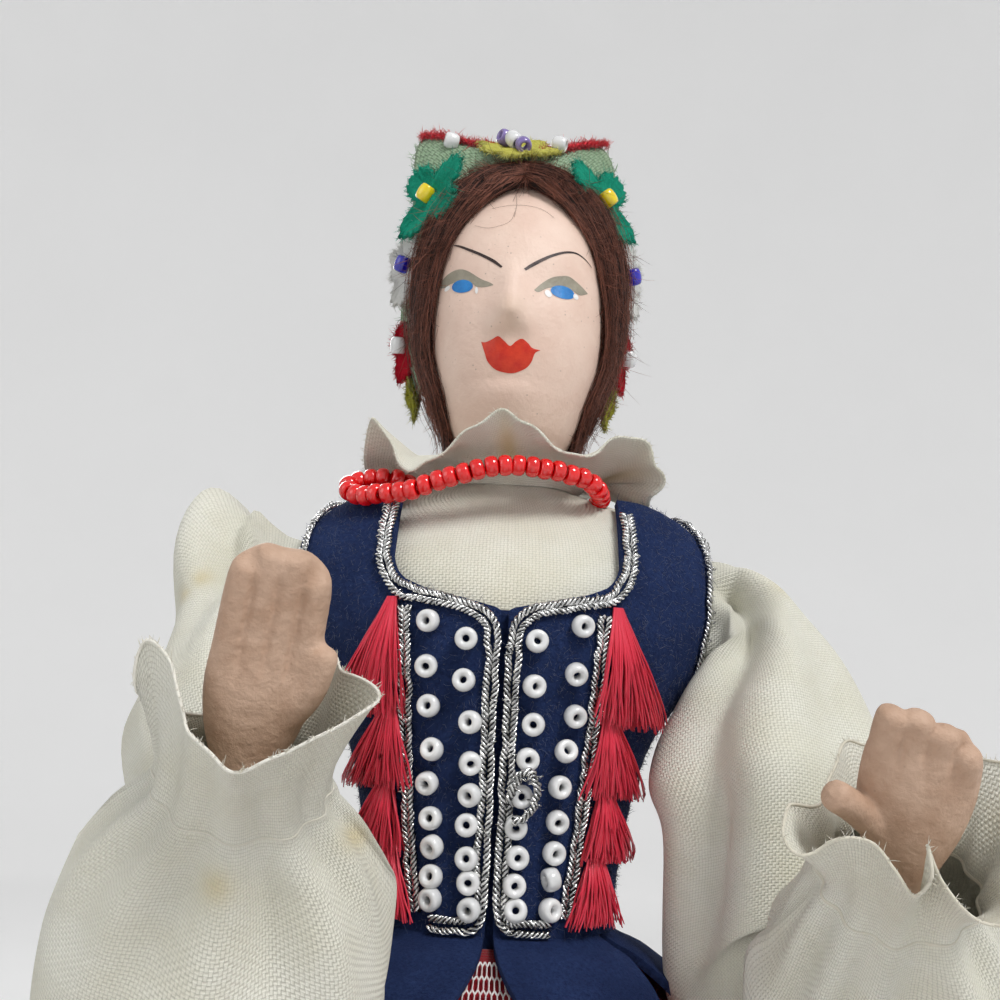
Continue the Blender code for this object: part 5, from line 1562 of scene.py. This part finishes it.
def build_apron():
    """Six-sided net of fine thread, with a thicker scalloped edge."""
    radius = skirt_radius(np.array([APRON_LOW_Z]))[0][0]
    wide, long = 2 * APRON_HALF_TURN * radius, APRON_HIGH_Z - APRON_LOW_Z
    columns, rows = int(wide / NET_CELL), int(long / (NET_CELL * 0.87))

    def place(across, down):
        u, v = across / columns, np.clip(down / rows, 0, 1)
        z = APRON_HIGH_Z + (APRON_LOW_Z - APRON_HIGH_Z) * v
        return skirt_point(APRON_HALF_TURN * (2 * u - 1), z, APRON_STAND_OFF)

    net = strands("apron_net", net_paths(place, columns, rows), NET_THREAD, 3, 1.0)
    dress(net, NET, "figure", "apron", slot="white_lace")
    edge = strands("apron_edge", apron_edges(place, columns, rows), EDGE_THREAD, 5, 1.0)
    dress(edge, NET, "figure", slot="white_lace")


# Legs and boots

LEG_X = 9.5
LEG = [(139.5, 7.2), (120, 6.8), (85, 6.2), (58, 5.4), (36, 4.6)]
BOOT = [
    (0, 5.6, 19, 8.6), (2.2, 5.9, 19.6, 8.9), (5.5, 5.9, 18.6, 8.4), (9.5, 5.6, 13.5, 7.6),
    (15, 5.7, 7.6, 7), (24, 5.8, 6.6, 6.6), (36, 6.5, 6.9, 6.9), (48, 7, 7.2, 7.2),
]


def boot_points(v, angle):
    """A boot from the middle of its sole, up its outside with a welt, and a little way down inside."""
    boot = oval(BOOT, v, angle)
    welt = bell(boot[..., 2], 2.4, 0.5) * 0.35
    boot[..., :2] += unit(boot[..., :2]) * welt[..., None]
    inner = oval(BOOT, np.linspace(1, 0.72, 12)[:, None], angle[:1], -0.8)
    sole = oval(BOOT, np.zeros((6, 1)), angle[:1]) * np.array([1, 1, 0])
    sole = sole * np.linspace(0.02, 1, 6)[:, None, None]
    return np.concatenate([sole, boot, inner])


def build_legs():
    u, v = mesh_grid(48, 70, wrap=True)
    angle = TURN * u
    z, radius = np.moveaxis(along(LEG, v), -1, 0)
    leg = np.stack([radius * np.sin(angle), -radius * np.cos(angle), z], -1)
    boot = boot_points(v, angle)
    for name, side in SIDES.items():
        place = np.array([side * LEG_X, 0, 0])
        skin = grid(f"{name}_leg_skin", leg + place, wrap=True, flip=True)
        dress(skin, LEG_SKIN, "figure", f"{name}_leg", slot="leg_paint")
        shell = grid(f"{name}_boot_shell", boot + place, wrap=True)
        dress(shell, BOOT_BLACK, "figure", f"{name}_boot", slot="boot_paint")


# Sleeves, cuffs and hands

# The elbow's rings: their depth, how far before the elbow its crook is, and their shares of the bend.
ELBOW_DEPTH, CROOK_REACH, ELBOW_SHARES = 25.0, 6.5, (0.12, 0.36, 0.62, 0.86)


def arm_frame(arm):
    """Shoulder, elbow and wrist of an arm, and the directions of its upper arm and its forearm."""
    shoulder = np.array([arm["side"] * SHOULDER[0], *SHOULDER[1:]])
    elbow, wrist = np.array(arm["elbow"], float), np.array(arm["wrist"], float)
    upper, fore = unit(elbow - shoulder), unit(wrist - elbow)
    return shoulder, elbow, wrist, upper, fore


# Rings from the armhole down the upper arm: outward x, y, z, tilt of the first axis from up to outward
# in degrees, half sizes along that axis outward and inward, half size front to back.
SHOULDER_RINGS = {
    "right": [
        (21.5, 1.5, 203.5, 0, 9.2, 9.6, 7.4),
        (30.5, 1.4, 203.6, 3, 8.6, 10.0, 7.8),
        (34.0, 0.6, 204.2, 12, 9.6, 10.0, 8.6),
        (38.4, -0.8, 204.6, 35, 15.6, 9.0, 7.8),
        (38.8, -3.4, 198.0, 74, 8.4, 9.0, 11.0),
        (38.4, -7.2, 190.0, 90, 8.2, 9.2, 12.4),
        (36.8, -11.5, 181.5, 90, 11.8, 11.8, 13.0),
    ],
    "left": [
        (21.5, 1.5, 203.5, 0, 9.4, 9.6, 7.4),
        (30.5, 1.2, 203.5, 4, 8.8, 10.0, 7.8),
        (34.0, 0.6, 202.8, 24, 7.8, 9.5, 9.4),
        (37.0, -1.9, 197.6, 62, 8.3, 10.0, 11.8),
        (37.2, -6.0, 190.5, 85, 11.4, 12.8, 13.0),
        (37.0, -9.6, 181.5, 90, 14.4, 15.2, 13.4),
        (37.0, -12.4, 174.5, 90, 14.6, 13.4, 13.2),
    ],
}
# Rings along the forearm from the elbow: share of the way to the wrist, half width outward and inward,
# upper and lower depth.
FOREARM_RINGS = {
    "right": [
        (0.30, 17.4, 17.4, 8.0, 19.5),
        (0.50, 15.4, 15.4, 8.0, 14.5),
        (0.70, 12.4, 12.4, 7.0, 9.6),
        (0.87, 8.8, 8.8, 5.8, 6.4),
    ],
    "left": [
        (0.30, 16.6, 8.8, 8.0, 17.5),
        (0.50, 15.6, 7.8, 8.0, 13.4),
        (0.70, 13.2, 7.2, 7.0, 9.4),
        (0.87, 9.4, 6.8, 5.8, 6.4),
    ],
}


def shoulder_stations(name, side, upper):
    """The rings of the shoulder and the upper arm, which turn from across the body to across the arm."""
    outward = np.array([side, 0, 0.0])
    stations = []
    for x, y, z, tilt, half_out, half_in, deep in SHOULDER_RINGS[name]:
        share, lean = tilt / 90, math.radians(tilt)
        ahead = unit(outward * (1 - share) + upper * share)
        axis = np.array([side * math.sin(lean), 0, math.cos(lean)])
        axis = unit(axis - ahead * axis.dot(ahead))
        front = np.cross(ahead, axis) * side
        stations.append([side * x, y, z, *axis, *front, half_out, half_in, deep, deep])
    return stations


def sleeve_stations(name, arm):
    """Each ring's centre, its two axes, and its half sizes: outward and inward on the first axis,
    before and behind on the second. The elbow's rings fan out round the crook of the arm."""
    side = arm["side"]
    _, elbow, wrist, upper, fore = arm_frame(arm)
    outward = np.array([side, 0, 0.0])
    stations = shoulder_stations(name, side, upper)
    axis_upper, axis_fore = (unit(outward - way * outward.dot(way)) for way in (upper, fore))
    front_upper, front_fore = np.cross(upper, axis_upper) * side, np.cross(fore, axis_fore) * side
    crook = elbow + unit(front_upper + front_fore) * CROOK_REACH
    first, last = np.array(stations[-1][9:11]), np.array(FOREARM_RINGS[name][0][1:3])
    for share in ELBOW_SHARES:
        front = unit(front_upper * (1 - share) + front_fore * share)
        across = unit(outward - front * outward.dot(front))
        half = first + (last - first) * smooth(share, 0, 0.7)
        depth = ELBOW_DEPTH * (1 + 0.1 * math.sin(math.pi * share)) / 2
        creep = upper * (1 - share) * -1.5 + fore * share * 1.5
        stations.append([*(crook + creep - front * depth), *across, *front, *half, depth, depth])
    for share, *halves in FOREARM_RINGS[name]:
        centre = elbow + (wrist - elbow) * share
        stations.append([*centre, *axis_fore, *front_fore, *halves])
    return stations


def ring_points(stations, t, phi, boxy):
    """Points of the rings: phi 0 is along the first axis, a quarter turn is the front. Boxy rings
    have straight sides that come to a crease low down."""
    row = along(stations, t)
    centre, axis, front = row[..., 0:3], unit(row[..., 3:6]), unit(row[..., 6:9])
    half = np.where(np.cos(phi) > 0, row[..., 9], row[..., 10])
    deep = np.where(np.sin(phi) > 0, row[..., 11], row[..., 12])
    rise = np.sin(phi)
    flat = np.abs(rise) ** (1 + boxy * np.where(rise > 0, 0.5, -0.25)) * np.sign(rise)
    wide = half * np.cos(phi) * (1 - 0.22 * boxy * rise)
    out = axis * wide[..., None] + front * (deep * flat)[..., None]
    return centre + out, unit(out)


# Deep folds of a sleeve: its middle line as share along the sleeve and turn in degrees, half turn, depth.
FOLDS = {
    "right": [
        ([(0.165, -10), (0.185, 30), (0.22, 62), (0.29, 84)], 20, 2.6),
        ([(0.72, 236), (0.80, 244), (0.90, 250)], 13, 1.6),
        ([(0.70, 300), (0.80, 296), (0.90, 290)], 13, 1.6),
    ],
    "left": [
        ([(0.12, 66), (0.18, 86), (0.24, 114), (0.32, 136), (0.46, 148)], 20, 4.4),
        ([(0.72, 232), (0.80, 242), (0.90, 250)], 13, 1.6),
        ([(0.66, 300), (0.78, 292), (0.90, 284)], 15, 2.0),
    ],
}
SLEEVE_COLUMNS = 192
SLEEVE_ROWS, CUFF_ROWS = 130, 34
# Raw edge of each cuff: angle round the wrist in degrees, from outward by the back of the hand; x, y, z.
CUFF_EDGE = {
    "right": [
        (0, -34.6, -54.4, 186.6),
        (22, -33.2, -51.6, 184.6),
        (45, -30.2, -48.8, 184.0),
        (70, -26.2, -46.6, 186.4),
        (95, -22.6, -45.8, 188.8),
        (120, -19.0, -47.0, 190.8),
        (145, -16.8, -49.8, 190.0),
        (165, -14.6, -52.4, 188.2),
        (180, -11.4, -54.6, 186.6),
        (198, -13.2, -57.2, 184.4),
        (220, -16.8, -59.0, 182.0),
        (245, -20.0, -60.2, 180.2),
        (268, -22.8, -60.6, 179.0),
        (288, -25.2, -60.0, 180.6),
        (306, -27.8, -58.6, 182.4),
        (320, -28.8, -58.0, 184.8),
        (334, -30.6, -57.4, 188.6),
        (347, -33.0, -56.4, 190.0),
    ],
    "left": [
        (0, 50.2, -51.0, 181.0),
        (25, 48.4, -46.6, 184.0),
        (50, 44.6, -43.6, 182.4),
        (75, 41.2, -42.8, 184.4),
        (100, 37.6, -43.6, 185.0),
        (122, 34.2, -45.4, 184.2),
        (140, 32.4, -47.6, 181.0),
        (158, 30.0, -49.6, 178.6),
        (172, 27.0, -51.6, 178.4),
        (184, 25.8, -53.6, 176.4),
        (196, 26.8, -55.6, 174.4),
        (212, 29.4, -56.6, 175.8),
        (228, 32.4, -57.4, 176.0),
        (244, 34.2, -57.8, 173.8),
        (256, 35.6, -58.4, 171.8),
        (266, 36.6, -59.6, 173.4),
        (276, 36.4, -59.8, 176.0),
        (286, 37.8, -59.0, 173.2),
        (298, 39.6, -59.0, 170.8),
        (314, 42.6, -58.6, 169.8),
        (330, 45.8, -57.0, 171.4),
        (345, 48.8, -54.6, 176.0),
    ],
}


def fold_depth(name, v, phi):
    """How far the sleeve's folds sink below its round form, with a soft ridge on each side."""
    sunk = np.zeros(v.shape)
    for line, half_turn, depth in FOLDS[name]:
        shares, degrees = np.asarray(line, float).T
        off = np.angle(np.exp(1j * (phi - np.radians(np.interp(v, shares, degrees)))))
        off = off / math.radians(half_turn)
        start = smooth(v, shares[0] - 0.07, shares[0] + 0.03)
        end = 1 - smooth(v, shares[-1] - 0.04, shares[-1] + 0.1)
        sunk += depth * start * end * (np.exp(-off * off) - 0.3 * np.exp(-((np.abs(off) - 1.9) ** 2)))
    return sunk


def sleeve_relief(v, phi, phase):
    """How far a sleeve's soft pleats, long folds and creases stand off its round form."""
    gather = 0.8 * smooth(v, 0.72, 0.97) * (1 - 0.55 * smooth(v, 0.93, 1.0))
    pleats = gather * np.cos(11 * phi + phase[0] + 0.8 * np.sin(2 * phi))
    pleats = pleats + 0.6 * bell(v, 0.84, 0.08) * np.cos(6 * phi + phase[1] + 2 * v)
    folds = 0.7 * smooth(v, 0.08, 0.3) * (1 - smooth(v, 0.6, 0.85)) * np.cos(4 * phi + phase[2] + 3 * v)
    folds = folds + 0.4 * bell(v, 0.35, 0.2) * np.cos(7 * phi + phase[3] - 5 * v)
    head = 0.55 * (1 - smooth(v, 0.1, 0.35)) * smooth(v, 0.02, 0.1) * np.cos(9 * phi + phase[4])
    crook = 1.1 * bell(np.sin(phi), 1.0, 0.55) * bell(v, 0.60, 0.13)
    crook = crook * np.cos(46 * v + 1.2 * np.cos(phi) + phase[5])
    outer = 0.8 * bell(np.sin(phi), -0.8, 0.6) * bell(v, 0.52, 0.2)
    outer = outer * np.cos(24 * v + 2 * np.cos(phi) + phase[6])
    return pleats + folds + head + crook + outer


def sleeve_points(name, arm):
    """The whole sleeve, armhole to gathered wrist, and the cuff's ruffle beyond, as one cloth."""
    phase = dice(name + "_sleeve").random(8) * TURN
    u, v = mesh_grid(SLEEVE_COLUMNS, SLEEVE_ROWS, wrap=True)
    phi = TURN * u
    boxy = smooth(v, 0.5, 0.72) * (1 - smooth(v, 0.88, 1.0))
    points, out = ring_points(sleeve_stations(name, arm), v, phi, boxy)
    points = points + out * (sleeve_relief(v, phi, phase) - fold_depth(name, v, phi))[..., None]
    cuff = cuff_points(name, arm, points[-1], phase)
    return np.concatenate([points, cuff[1:]])


def cuff_points(name, arm, foot, phase):
    """The ruffle opens from the gather, its foot, to its raw edge."""
    u, v = mesh_grid(SLEEVE_COLUMNS, CUFF_ROWS, wrap=True)
    rows = np.asarray(CUFF_EDGE[name], float)
    turn = np.array([360.0, 0, 0, 0])
    rows = np.concatenate([rows[-2:] - turn, rows, rows[:3] + turn])
    edge = along(rows[:, 1:], np.interp(360 * u, rows[:, 0], np.linspace(0, 1, len(rows))))
    fore = arm_frame(arm)[4]
    out = unit(foot - foot.mean(0))
    neck = foot + fore * 3.0 - out * 1.6
    v = v[..., None]
    points = foot * (1 - v) ** 2 + neck * 2 * v * (1 - v) + edge * v**2
    flutter = 0.3 * smooth(v, 0.6, 1.0) * np.cos(14 * TURN * u + phase[3])[..., None]
    return points + unit(edge - foot.mean(0)) * flutter


# Yellowed places of each sleeve: x, y, z, and half size.
STAINS = {
    "right": [
        ((-42.6, -8, 204.0), 1.3),
        ((-44.4, -8, 201.6), 1.1),
        ((-26, -46, 168.5), 1.5),
        ((-14.5, -40, 173), 1.4),
    ],
    "left": [((40, -12, 208), 1.5), ((50, -42, 178), 2.0)],
}
# Row where the sleeve is cut in two, and row of the gathering thread, by the foot of the cuff.
SPLIT_ROW, GATHER_ROW = 58, SLEEVE_ROWS + 3
CUFF_THREADS = 420


def sleeve_stain(name, points):
    stain = np.zeros(len(points))
    for centre, size in STAINS[name]:
        off = (points - np.array(centre)) * np.array([1, 0.25, 1])
        stain = np.maximum(stain, 0.5 * np.exp(-(off**2).sum(1) / size**2))
    return stain


def sleeve_cloths(name, points, halves, flip):
    """The halves of a sleeve, with the whole cloth's normals, so that the cut doesn't show."""
    whole = grid(name + "_sleeve", points, wrap=True, flip=flip)
    normals = np.zeros(points.size, np.float32)
    whole.data.vertices.foreach_get("normal", normals)
    normals = normals.reshape(points.shape)
    bpy.data.objects.remove(whole)
    cloths = []
    for half, rows in halves.items():
        cloth = grid(f"{name}_{half}_sleeve_cloth", points[rows], wrap=True, flip=flip)
        cloth.data.normals_split_custom_set_from_vertices(normals[rows].reshape(-1, 3).tolist())
        set_attribute(cloth, "stain", sleeve_stain(name, points[rows].reshape(-1, 3)))
        cloths.append(cloth)
    return cloths


def build_sleeve(name, arm):
    """One cloth, cut in two across the rigid middle of the upper arm: each half crosses one joint."""
    points = sleeve_points(name, arm)
    halves = {"upper": slice(0, SPLIT_ROW + 1), "lower": slice(SPLIT_ROW, len(points))}
    upper_cloth, lower_cloth = sleeve_cloths(name, points, halves, arm["side"] > 0)
    shoulder, elbow, _, upper, fore = arm_frame(arm)
    upper_body, fore_body = f"{name}_upper_arm_group", f"{name}_forearm_group"
    outward = np.array([arm["side"], 0, 0.0])
    dress(upper_cloth, CREAM, None, f"{name}_upper_sleeve", slot="cream_cotton")
    start, end = in_frame(shoulder - outward * 5), in_frame(shoulder + outward * 4 + upper * 8)
    tuple(start)
    tuple(end)
    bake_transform(upper_cloth)
    dress(lower_cloth, CREAM, None, f"{name}_lower_sleeve", f"{name}_cuff", slot="cream_cotton")
    start, end = in_frame(elbow - upper * 9), in_frame(elbow + fore * 11)
    tuple(start)
    tuple(end)
    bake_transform(lower_cloth)
    declare_sheet(upper_cloth, points[halves["upper"]], wrap=True)
    fray = raw_edge(f"{name}_cuff_fray", points, fore_body, CUFF_THREADS)
    declare_sheet(lower_cloth, points[halves["lower"]], wrap=True)
    rim, ring = (np.concatenate([points[row], points[row][:1]]) for row in (-1, GATHER_ROW))
    wraps = [ring + fore * (0.25 * k - 0.3) for k in range(2)]
    for part, paths, radius, sides in (("cuff_rim", [rim], 0.16, 6), ("gather_thread", wraps, 0.12, 5)):
        thread = strands(f"{name}_{part}", paths, radius, sides, 1.0)
        dress(thread, CREAM_THREAD, fore_body, slot="cream_cotton")


# The hand's broad form: reach from the wrist, half width, half thickness; it ends short of the fingertips.
PALM = [(-2.4, 2.8, 2.5), (0, 3.1, 2.6), (4, 4.5, 2.6), (8, 5.2, 2.4), (12, 5.1, 2.0)]
PALM_SIDES, DIGIT_SIDES, DIGIT_POINTS, DIGIT_RADIUS = 40, 20, 16, 1.5
HAND_VOXEL, GROOVE_DEPTH, GROOVE_WIDTH = 0.22, 0.32, 0.34


def hand_frame(arm):
    """The wrist, and the directions across the hand, out of its palm and to its fingertips."""
    ahead, palm = unit(np.array(arm["hand"])), np.array(arm["palm"], float)
    palm = unit(palm - ahead * palm.dot(ahead))
    across = np.cross(ahead, palm) * -arm["side"]
    return np.array(arm["wrist"], float), across, palm, ahead


def in_hand(hand, spots):
    """Places that are given across the hand, out of its palm and along it."""
    wrist, across, palm, ahead = hand
    side, out, reach = (np.asarray(spots)[..., k, None] for k in range(3))
    return wrist + across * side + palm * out + ahead * reach


def closed(name, rows, tip=0.0):
    """A closed form from rings of points, with a middle point at each end, the last one moved by tip."""
    first, last = (ring.mean(1, keepdims=True).repeat(rows.shape[1], 1) for ring in (rows[:1], rows[-1:]))
    return grid(name, np.concatenate([first, rows, last + tip]), wrap=True)


def digit_lines(arm):
    """Middle lines of the fingers and the thumb: across the hand, out of its palm, along it."""
    lines = []
    for side, tip in arm["fingers"]:
        root = [(side * 0.95, 0.1, 7), (side, 0.3, 11.5)]
        lines.append(root + [(side * 0.98, 0.5, tip - 1.8), (side * 0.9, 0.6, tip - 0.4)])
    thumb = [np.array((side, out, reach)) for side, reach, out in arm["thumb"]]
    lines.append([(1.6, 0.4, 2.5), *thumb, thumb[-1] + 0.3 * (thumb[-1] - thumb[-2])])
    return lines


def digit(hand, line):
    """A round finger or thumb along a line, with a rounded tip."""
    t = np.linspace(0, 1, DIGIT_POINTS)
    path = in_hand(hand, along(line, t))
    ahead = unit(np.gradient(path, axis=0))
    side = unit(np.cross(ahead, hand[2]))
    top = np.cross(side, ahead)
    radius = DIGIT_RADIUS * np.sqrt(np.clip(1 - np.clip((t - 0.72) / 0.28, 0, 1) ** 2 * 0.94, 0, 1))
    angle = (TURN * np.arange(DIGIT_SIDES) / DIGIT_SIDES)[:, None]
    ring = side[:, None] * np.cos(angle) + top[:, None] * np.sin(angle)
    return closed("digit", path[:, None] + ring * radius[:, None, None], ahead[-1] * 0.4)


def run_together(name, pieces, smoothing):
    """One carved object from pieces that overlap."""
    joined = bmesh.new()
    for piece in pieces:
        joined.from_mesh(piece.data)
        bpy.data.objects.remove(piece)
    bmesh.ops.remove_doubles(joined, verts=joined.verts, dist=1e-7)
    bmesh.ops.recalc_face_normals(joined, faces=joined.faces)
    mesh = bpy.data.meshes.new(name)
    joined.to_mesh(mesh)
    joined.free()
    obj = linked(name, mesh)
    remesh = obj.modifiers.new("run_together", "REMESH")
    remesh.mode = "VOXEL"
    remesh.voxel_size = HAND_VOXEL * MM
    carve = obj.modifiers.new("carved", "SMOOTH")
    carve.factor = 0.5
    carve.iterations = smoothing
    graph = bpy.context.evaluated_depsgraph_get()
    shaped = bpy.data.meshes.new_from_object(obj.evaluated_get(graph))
    obj.modifiers.clear()
    obj.data = shaped
    shaped.shade_smooth()
    return obj


def cut_grooves(obj, arm, hand):
    """Lines between the fingers."""
    wrist, across, _, ahead = hand
    vertices = obj.data.vertices
    spots, normals = (np.zeros(len(vertices) * 3) for _ in range(2))
    vertices.foreach_get("co", spots)
    vertices.foreach_get("normal", normals)
    spots, normals = spots.reshape(-1, 3), normals.reshape(-1, 3)
    local = in_doll(spots) - wrist
    aside, along_hand = local @ across, local @ ahead
    sides, tips = zip(*arm["fingers"])
    groove = sum(bell(aside, (a + b) / 2, GROOVE_WIDTH) for a, b in zip(sides, sides[1:]))
    end = min(tips)
    groove = GROOVE_DEPTH * groove * smooth(along_hand, 8.5, 12.5) * (1 - smooth(along_hand, end - 2.5, end))
    vertices.foreach_set("co", (spots - normals * groove[:, None] * MM).ravel())
    obj.data.update()


def build_hand(name, arm):
    """A carved hand: palm, fingers that touch, and thumb, run together and smoothed like wood."""
    hand = hand_frame(arm)
    u, v = mesh_grid(PALM_SIDES, 40, wrap=True)
    reach, wide, thick = np.moveaxis(along(PALM + arm["mitten"], v), -1, 0)
    palm = in_hand(hand, np.stack([wide * np.sin(TURN * u), thick * np.cos(TURN * u), reach], -1))
    pieces = [closed("palm", palm)] + [digit(hand, line) for line in digit_lines(arm)]
    carved = run_together(name + "_hand_skin", pieces, arm["smoothing"])
    cut_grooves(carved, arm, hand)
    dress(carved, HAND_SKIN, f"{name}_forearm_group", f"{name}_hand", slot="hand_composition")


# Stage: backdrop, light and camera

CAMERA_PLACE = (-1.4, -148.9, 180.5)
CAMERA_RISE, CAMERA_ROLL = math.radians(15), math.radians(3)
# A lens as long as the sensor is wide sees 53 degrees.
LENS = 36
# The backdrop's profile in metres: distance from the doll and height. Its floor is just below the doll.
BACKDROP = [(0.001, 0), (0.6, 0), (1.1, 0), (1.6, 0.12), (2.0, 0.5), (2.3, 1.2), (2.4, 2.0), (2.4, 3.0)]
FLOOR_DROP = 0.0002
# Brightness that the wall shows to the camera and in reflections, and that lights nothing; the
# distances from the doll between which it sets in.
WALL_GLOW, GLOW_START, GLOW_FULL = 0.3, 0.7, 1.3
# Lamps: place, aim, size, watts.
LAMPS = {
    "key": ((0.45, -0.7, 1.0), (0, -0.02, 0.2), 0.4, 9.0),
    "fill": ((-0.9, -0.6, 0.5), (0, 0, 0.18), 0.8, 2.0),
    "rim": ((-0.35, 0.8, 0.7), (0, 0, 0.22), 0.4, 3.0),
}
WORLD_STRENGTH = 0.46


def build_backdrop():
    """A pale floor that turns up into a wall all round, with no corner to see."""
    u, v = mesh_grid(96, 60, wrap=True)
    radius, z = np.moveaxis(along(BACKDROP, v), -1, 0)
    points = np.stack([radius * np.cos(TURN * u), radius * np.sin(TURN * u), z - FLOOR_DROP], -1)
    bowl = grid("backdrop", in_doll(points), wrap=True)
    made = finish("pale_backdrop", 0.9, Specular_IOR_Level=0.1, Emission_Color=(1, 1, 1))
    connect(made, mixed(made, cloud(made, 3, 2), (0.80, 0.80, 0.80), (0.82, 0.82, 0.82)), "Base Color")
    rays = node(made, "LightPath").outputs
    seen = math_node(made, "ADD", rays["Is Camera Ray"], rays["Is Glossy Ray"])
    seen = math_node(made, "MINIMUM", math_node(made, "ADD", seen, rays["Is Transmission Ray"]), 1.0)
    place = node(made, "NewGeometry").outputs["Position"]
    away = node(made, "VectorMath", {0: place}, operation="LENGTH").outputs["Value"]
    wall = ranged(made, away, GLOW_START, GLOW_FULL, 0.0, WALL_GLOW)
    connect(made, math_node(made, "MULTIPLY", seen, wall), "Emission Strength")
    bowl.data.materials.append(made)


def lamp(name, place, aim, size, watts):
    light = bpy.data.lights.new(name, "AREA")
    light.shape = "DISK"
    light.size = size
    light.energy = watts
    obj = linked(name, light)
    obj.location = place
    obj.rotation_euler = (Vector(aim) - Vector(place)).to_track_quat("-Z", "Y").to_euler()


def build_camera():
    camera = linked("camera", bpy.data.cameras.new("camera"))
    camera.data.lens = LENS
    camera.data.sensor_width = LENS
    camera.data.clip_start = 0.001
    ahead = Vector((0, math.cos(CAMERA_RISE), math.sin(CAMERA_RISE)))
    down = Vector((0, math.sin(CAMERA_RISE), -math.cos(CAMERA_RISE)))
    right = Vector((1, 0, 0))
    rolled_right = right * math.cos(CAMERA_ROLL) - down * math.sin(CAMERA_ROLL)
    rolled_down = right * math.sin(CAMERA_ROLL) + down * math.cos(CAMERA_ROLL)
    pose = Matrix((rolled_right, -rolled_down, -ahead)).transposed().to_4x4()
    pose.translation = Vector(in_frame(CAMERA_PLACE))
    camera.matrix_world = pose
    bpy.context.scene.camera = camera


def build_stage():
    build_backdrop()
    for name, values in LAMPS.items():
        lamp(name, *values)
    world = bpy.data.worlds.new("studio")
    world.use_nodes = True
    background = world.node_tree.nodes["Background"].inputs
    background["Color"].default_value = (1, 1, 1, 1)
    background["Strength"].default_value = WORLD_STRENGTH
    bpy.context.scene.world = world
    bpy.context.scene.view_settings.view_transform = "Standard"
    build_camera()


def finish_hidden_parts():
    """The solids that stay: the peg and the wires inside."""
    for name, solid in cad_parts.items():
        wire = name == "shoulder_wire" or name.endswith(("_upper_arm", "_forearm"))
        if wire or name == "neck_peg":
            solid.data.materials.clear()
            solid.data.materials.append(STEEL if wire else WOOD)


def main():
    build_head()
    build_face()
    build_wig()
    build_headband()
    for name, shape in FLOWERS.items():
        build_flower(name, *shape)
    build_body()
    build_blouse()
    build_collar()
    build_necklace()
    build_vest()
    build_vest_beads()
    build_braid()
    build_tassels()
    build_skirt()
    build_peplum()
    build_apron()
    build_legs()
    for name, arm in ARMS.items():
        build_hand(name, arm)
        build_sleeve(name, arm)
    finish_hidden_parts()
    build_stage()


main()
